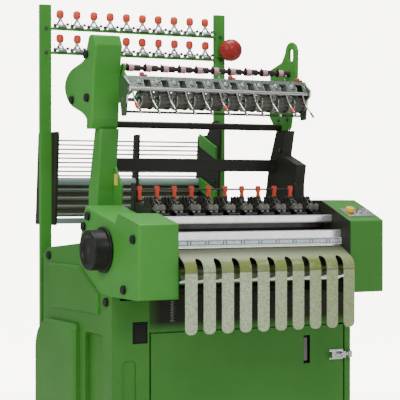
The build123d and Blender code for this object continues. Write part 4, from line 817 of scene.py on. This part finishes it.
# the end cheeks, facing along X, take a painted shade of dark green and are not metallic
cheek_shade = ramp(tree, sums(tree, "ABSOLUTE", facing(tree, "X")), *cheek_facing)
tree.links.new(tint(tree, cheek_shade, stayed, cheek_shade_green), shader.inputs["Base Color"])
tree.links.new(sums(tree, "SUBTRACT", 1.0, cheek_shade), shader.inputs["Metallic"])
coat("feeder_rail", rail_sheet, 0.0008)
clip_red = enamel("clip_red", (0.34, 0.05, 0.045), (0.44, 0.075, 0.065), (0.5, 0.14, 0.12), 0.34, 0.02)
clips = bmesh.new()
for x in clip_sides:
    turned(clips, loom(x, 302.0, 1484.5), (0, 0, 1), clip_profile, 18)
    brick(clips, loom(x + 4.0, 294.0, 1484.5), loom(x + 17.0, 306.0, 1491.0), 1.4)
piece("rail_clips", clips, clip_red, "machine")
guides = bmesh.new()
for x in stations:
    for path, thickness in ((top_guide, 1.5), (lip_guide, 1.4), (side_guide, 1.2)):
        wire(guides, [loom(x + aside, y, z) for aside, y, z in path], thickness)
piece("yarn_guides", guides, chrome, "machine")
grip = bmesh.new()
turned(grip, near(0, 0, 0), rail_slope, grip_profile, 20)
for spot, profile in grip_screws:
    turned(grip, near(*spot), rail_slope, profile, 6)
grip_spots = [loom(x - 29.0, 281.0, 1465.0) for x in stations]
repeated("yarn_grips", grip, grip_spots, steel, "machine")

# Feed drums: grey turned drums with plated end discs and a cage of iron pins in the groove,
# which grips the weft between them. All ten are keyed to one shaft.
drum_spots = [loom(x, 300.0, 1406.0) for x in stations]
pin_count = 12
pin_ring = 27.6
pin_profile = [(0, 1.7), (32.0, 1.7)]
disc_place = 22.0
disc_profile = [(0, 30.4), (1.6, 30.4), (2.0, 28.8), (0.9, 28.0), (0.9, 24.0), (1.7, 23.4), (1.7, 15.0),
                (0.9, 14.4), (0.9, 10.5), (4.4, 10.0), (5.0, 8.5)]
drum_grey = enamel("drum_grey", (0.055, 0.057, 0.043), (0.11, 0.112, 0.09), (0.15, 0.15, 0.13),
                   0.4, 0.08, 30.0)
disc_steel = plated("disc_steel", (0.58, 0.61, 0.56), 0.26, 0.03)
coat("feed_drums", drum_grey)
cage = bmesh.new()
for step in range(pin_count):
    angle = math.tau * step / pin_count
    spot = near(-16.0, pin_ring * math.cos(angle), pin_ring * math.sin(angle))
    turned(cage, spot, (1, 0, 0), pin_profile, 8)
repeated("drum_cages", cage, drum_spots, iron, "feed_drums")
discs = bmesh.new()
for side in (-1, 1):
    turned(discs, near(side * disc_place, 0, 0), (side, 0, 0), disc_profile, 36)
repeated("drum_discs", discs, drum_spots, disc_steel, "feed_drums")

# Weft fingers: bent spring wires on a pivot rod, each with a rolled eye and a brown sleeve at its tip.
# Three of them carry a red sleeve, as a mark for the weaver.
finger_sides = [100.0 + 65.0 * index for index in range(11)]
finger_spots = [loom(x, 190.0, 1360.0) for x in finger_sides]
finger_slope = (0, -46.2, -38.0)
marked_fingers = (0, 5, 9)
eye_radius = 5.0
eye_steps = 20
eye_profile = [(0, 2.8), (8.0, 2.8)]
sleeve_profile = [(0, 3.4), (1.5, 4.6), (19.0, 4.6), (21.0, 3.4)]
tip_profile = [(0, 2.9), (1.5, 3.7), (16.0, 3.7), (18.5, 2.4)]
tip_brown = enamel("tip_brown", (0.05, 0.045, 0.035), (0.09, 0.08, 0.06), (0.12, 0.11, 0.09), 0.5, 0.05)
coat("weft_fingers", plated("finger_wire", (0.62, 0.60, 0.56), 0.22, 0.02))
eye = bmesh.new()
wire(eye, [near(0, eye_radius * math.cos(step * math.tau / eye_steps),
                eye_radius * math.sin(step * math.tau / eye_steps)) for step in range(eye_steps)], 2.4)
turned(eye, near(-4.0, 0, 0), (1, 0, 0), eye_profile, 10)
repeated("finger_eyes", eye, finger_spots, chrome, "weft_fingers")
sleeves = bmesh.new()
for index in marked_fingers:
    turned(sleeves, loom(finger_sides[index], 225.0, 1389.0), finger_slope, sleeve_profile, 14)
piece("finger_sleeves", sleeves, red_plastic, "weft_fingers")
tip = bmesh.new()
turned(tip, near(0, 16.5, 13.6), finger_slope, tip_profile, 12)
repeated("finger_tips", tip, finger_spots, tip_brown, "weft_fingers")

# Ring feed: a browned steel shaft with a pink rubber ring and a collar at each head.
# A black spring clip holds every ring, and no two clips stand at the same angle.
clip_spots = [loom(x, 409.0, 1520.0) for x in stations]
collar_profile = [(0, 10.5), (1.0, 12.8), (3.4, 12.8), (4.2, 11.0)]
clip_askew = (0.5, 0.0, 0.0)
browned_steel = enamel("browned_steel", (0.03, 0.02, 0.018), (0.06, 0.042, 0.038), (0.1, 0.08, 0.075),
                       0.34, 0.05)
pink_rubber = enamel("pink_rubber", (0.56, 0.27, 0.31), (0.68, 0.37, 0.41), (0.7, 0.48, 0.5), 0.6, 0.05)
coat("feed_shaft", browned_steel)
coat("feed_rings", pink_rubber)
clip = bmesh.new()
turned(clip, near(-13.5, 0, 0), (1, 0, 0), collar_profile, 20)
brick(clip, near(-13.0, -4.0, 10.0), near(-9.6, 4.0, 17.0), 0.8)
repeated("ring_clips", clip, clip_spots, plug_black, "ring_feed", clip_askew, 5)

# Rear stand: a welded box-section frame in green with black plates bolted inside its posts.
# They hold drawn steel warp rods, a pale lacquered roller and brown contact bars with a painted pale
# highlight on their upper edges, in front of a brown folded dropper sheet and over a pale sill.
bar_foot = 0.9945
bar_pitch = 0.03
bar_edge = 0.83
pale_blue = (0.46, 0.58, 0.60)
sheet_faces = [(loom(50.0, 924.0, 1012.0), loom(692.0, 926.0, 1130.0), 0.4),
               (loom(50.0, 919.0, 1127.0), loom(692.0, 926.0, 1133.0), 0.8)]
sill_corners = loom(50.0, 914.0, 986.0), loom(692.0, 924.0, 1007.0)
plate_bolts = (1010.0, 1140.0, 1270.0)
post_bolts = [(x, 795.0, z) for x in (20.0, 722.0) for z in (1596.0, 1682.0)]


def bar_highlight_mask(tree):
    """The upper edge of every contact bar, where a pale highlight is painted."""
    height = sums(tree, "SUBTRACT", places(tree)["Z"], bar_foot)
    return sums(tree, "GREATER_THAN", sums(tree, "FRACT", sums(tree, "DIVIDE", height, bar_pitch)), bar_edge)


brown_lacquer = enamel("brown_lacquer", (0.17, 0.153, 0.115), (0.25, 0.228, 0.18), (0.28, 0.26, 0.21),
                       0.5, 0.05)
pale_lacquer = enamel("pale_lacquer", (0.38, 0.48, 0.50), pale_blue, (0.55, 0.6, 0.62), 0.32, 0.03, 30.0)
for part in ("stand_frame", "stand_slabs"):
    coat(part, green_enamel, 0.001)
coat("stand_plates", black_enamel, 0.001)
coat("guide_rods", steel)
# the contact bars' upper edges carry a painted pale highlight
coat("contact_bars", two_tone("contact_lacquer", brown_lacquer, bar_highlight_mask, pale_blue), 0.0008)
coat("warp_roller", pale_lacquer)
sheet = bmesh.new()
for low, high, edge in sheet_faces:
    brick(sheet, low, high, edge)
piece("dropper_sheet", sheet, brown_lacquer, "machine")
sill = bmesh.new()
brick(sill, *sill_corners, 1.0)
piece("contact_sill", sill, pale_lacquer, "machine")
stand_bolts = bmesh.new()
for z in plate_bolts:
    turned(stand_bolts, loom(50.0, 785.0, z), (1, 0, 0), bolt_head, 6)
    turned(stand_bolts, loom(692.0, 785.0, z), (-1, 0, 0), bolt_head, 6)
for spot in post_bolts:
    turned(stand_bolts, loom(*spot), (0, -1, 0), bolt_head, 6)
piece("stand_bolts", stand_bolts, iron, "machine")

# Thread tensioners: plated discs with a cone, a coil spring and two bent wire arms each, on the cross
# bars, iron thread eyes in front, and a fluted red moulded cap that sets the spring.
tensioner_levels = (1686.0, 1600.0)
tensioner_spots = [loom(78.0 + 65.0 * index, 805.0, level)
                   for level in tensioner_levels for index in range(10)]
cap_profile = [(0, 8.4), (2.5, 11.0), (7.0, 12.6), (15.0, 13.2), (22.0, 12.4), (26.5, 10.0), (29.0, 6.0)]
cap_askew = (0.03, 0.03, 0.4)
cone_profile = [(0, 16.0), (1.4, 22.0), (3.0, 22.0), (4.4, 19.0), (9.0, 14.5), (15.0, 10.5), (19.0, 8.4)]
cone_askew = (0.0, 0.0, 0.25)
spring_radius = 6.6
spring_steps = 10
arm_paths = [
    [(-4.0, -8.0, 9.0), (-16.0, -15.0, 9.5), (-26.0, -20.0, 12.0), (-31.0, -22.0, 18.0),
     (-28.0, -22.0, 24.0)],
    [(4.0, -8.0, 9.0), (14.0, -14.0, 11.0), (22.0, -19.0, 17.0), (25.0, -21.0, 12.0),
     (27.0, -22.0, 3.0)],
]
end_places = [(-25.5, 8.0), (24.5, 12.0)]
end_profile = [(0, 3.4), (1.5, 5.2), (7.0, 5.2), (8.5, 3.4)]
coat("tensioner_bodies", chrome)
cap = bmesh.new()
turned(cap, near(0, 0, 34.0), (0, 0, 1), cap_profile, 32, 8, 0.06)
caps = repeated("tensioner_knobs", cap, tensioner_spots, red_plastic, "machine", cap_askew, 3)
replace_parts(caps, "tensioner_caps")
works = bmesh.new()
turned(works, near(0, 0, 5.2), (0, 0, 1), cone_profile, 24)
spring = [near(spring_radius * math.cos(step * math.tau / spring_steps),
               spring_radius * math.sin(step * math.tau / spring_steps),
               23.5 + 0.22 * step) for step in range(51)]
wire(works, spring, 1.5)
for path in arm_paths:
    wire(works, [near(*spot) for spot in path], 1.8)
repeated("tensioner_works", works, tensioner_spots, chrome, "machine", cone_askew, 11)
ends = bmesh.new()
for x, z in end_places:
    turned(ends, near(x, -7.0, z), (0, -1, 0), end_profile, 14)
    wire(ends, [near(x * 0.55, -2.0, 8.0), near(x * 0.8, -5.0, 0.5 * (z + 8.0)), near(x, -8.0, z)], 2.4)
repeated("tensioner_ends", ends, tensioner_spots, iron, "machine")

# Stop lamp: a moulded red lens with fine flutes, on a short socket that is screwed to the right post.
# The lens is coloured right through and has a high gloss.
lens_profile = [(0, 31.0), (3.0, 37.5), (8.0, 38.5), (12.0, 38.5), (13.0, 40.0), (27.0, 41.0), (40.0, 39.5),
                (52.0, 33.5), (60.0, 25.0), (65.0, 14.0), (66.8, 4.0)]
lamp_red = enamel("lamp_red", (0.20, 0.014, 0.012), (0.32, 0.034, 0.026), (0.36, 0.08, 0.06), 0.18, 0.01)
lens = bmesh.new()
turned(lens, loom(744.0, 779.0, 1631.0), (0, -1, 0), lens_profile, 72, 18, 0.02)
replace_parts(piece("lamp_lens", lens, lamp_red, "machine"), "lamp_dome")

# Back panel louvres: pressed vents for the motor, in two columns on the rear sheet.
# They are part of the sheet and sprayed with it.
louvre_outline = [(5.0, -5.0), (5.0, -3.0), (0.0, 5.0), (0.0, -5.0)]
louvre_half = 45.0
vents = [loom(x, 795.0, z) for x in (330.0, 580.0) for z in range(300, 461, 20)]
louvre = bmesh.new()
slab(louvre, louvre_outline, -louvre_half, louvre_half)
repeated("back_louvres", louvre, vents, base_enamel, "machine")
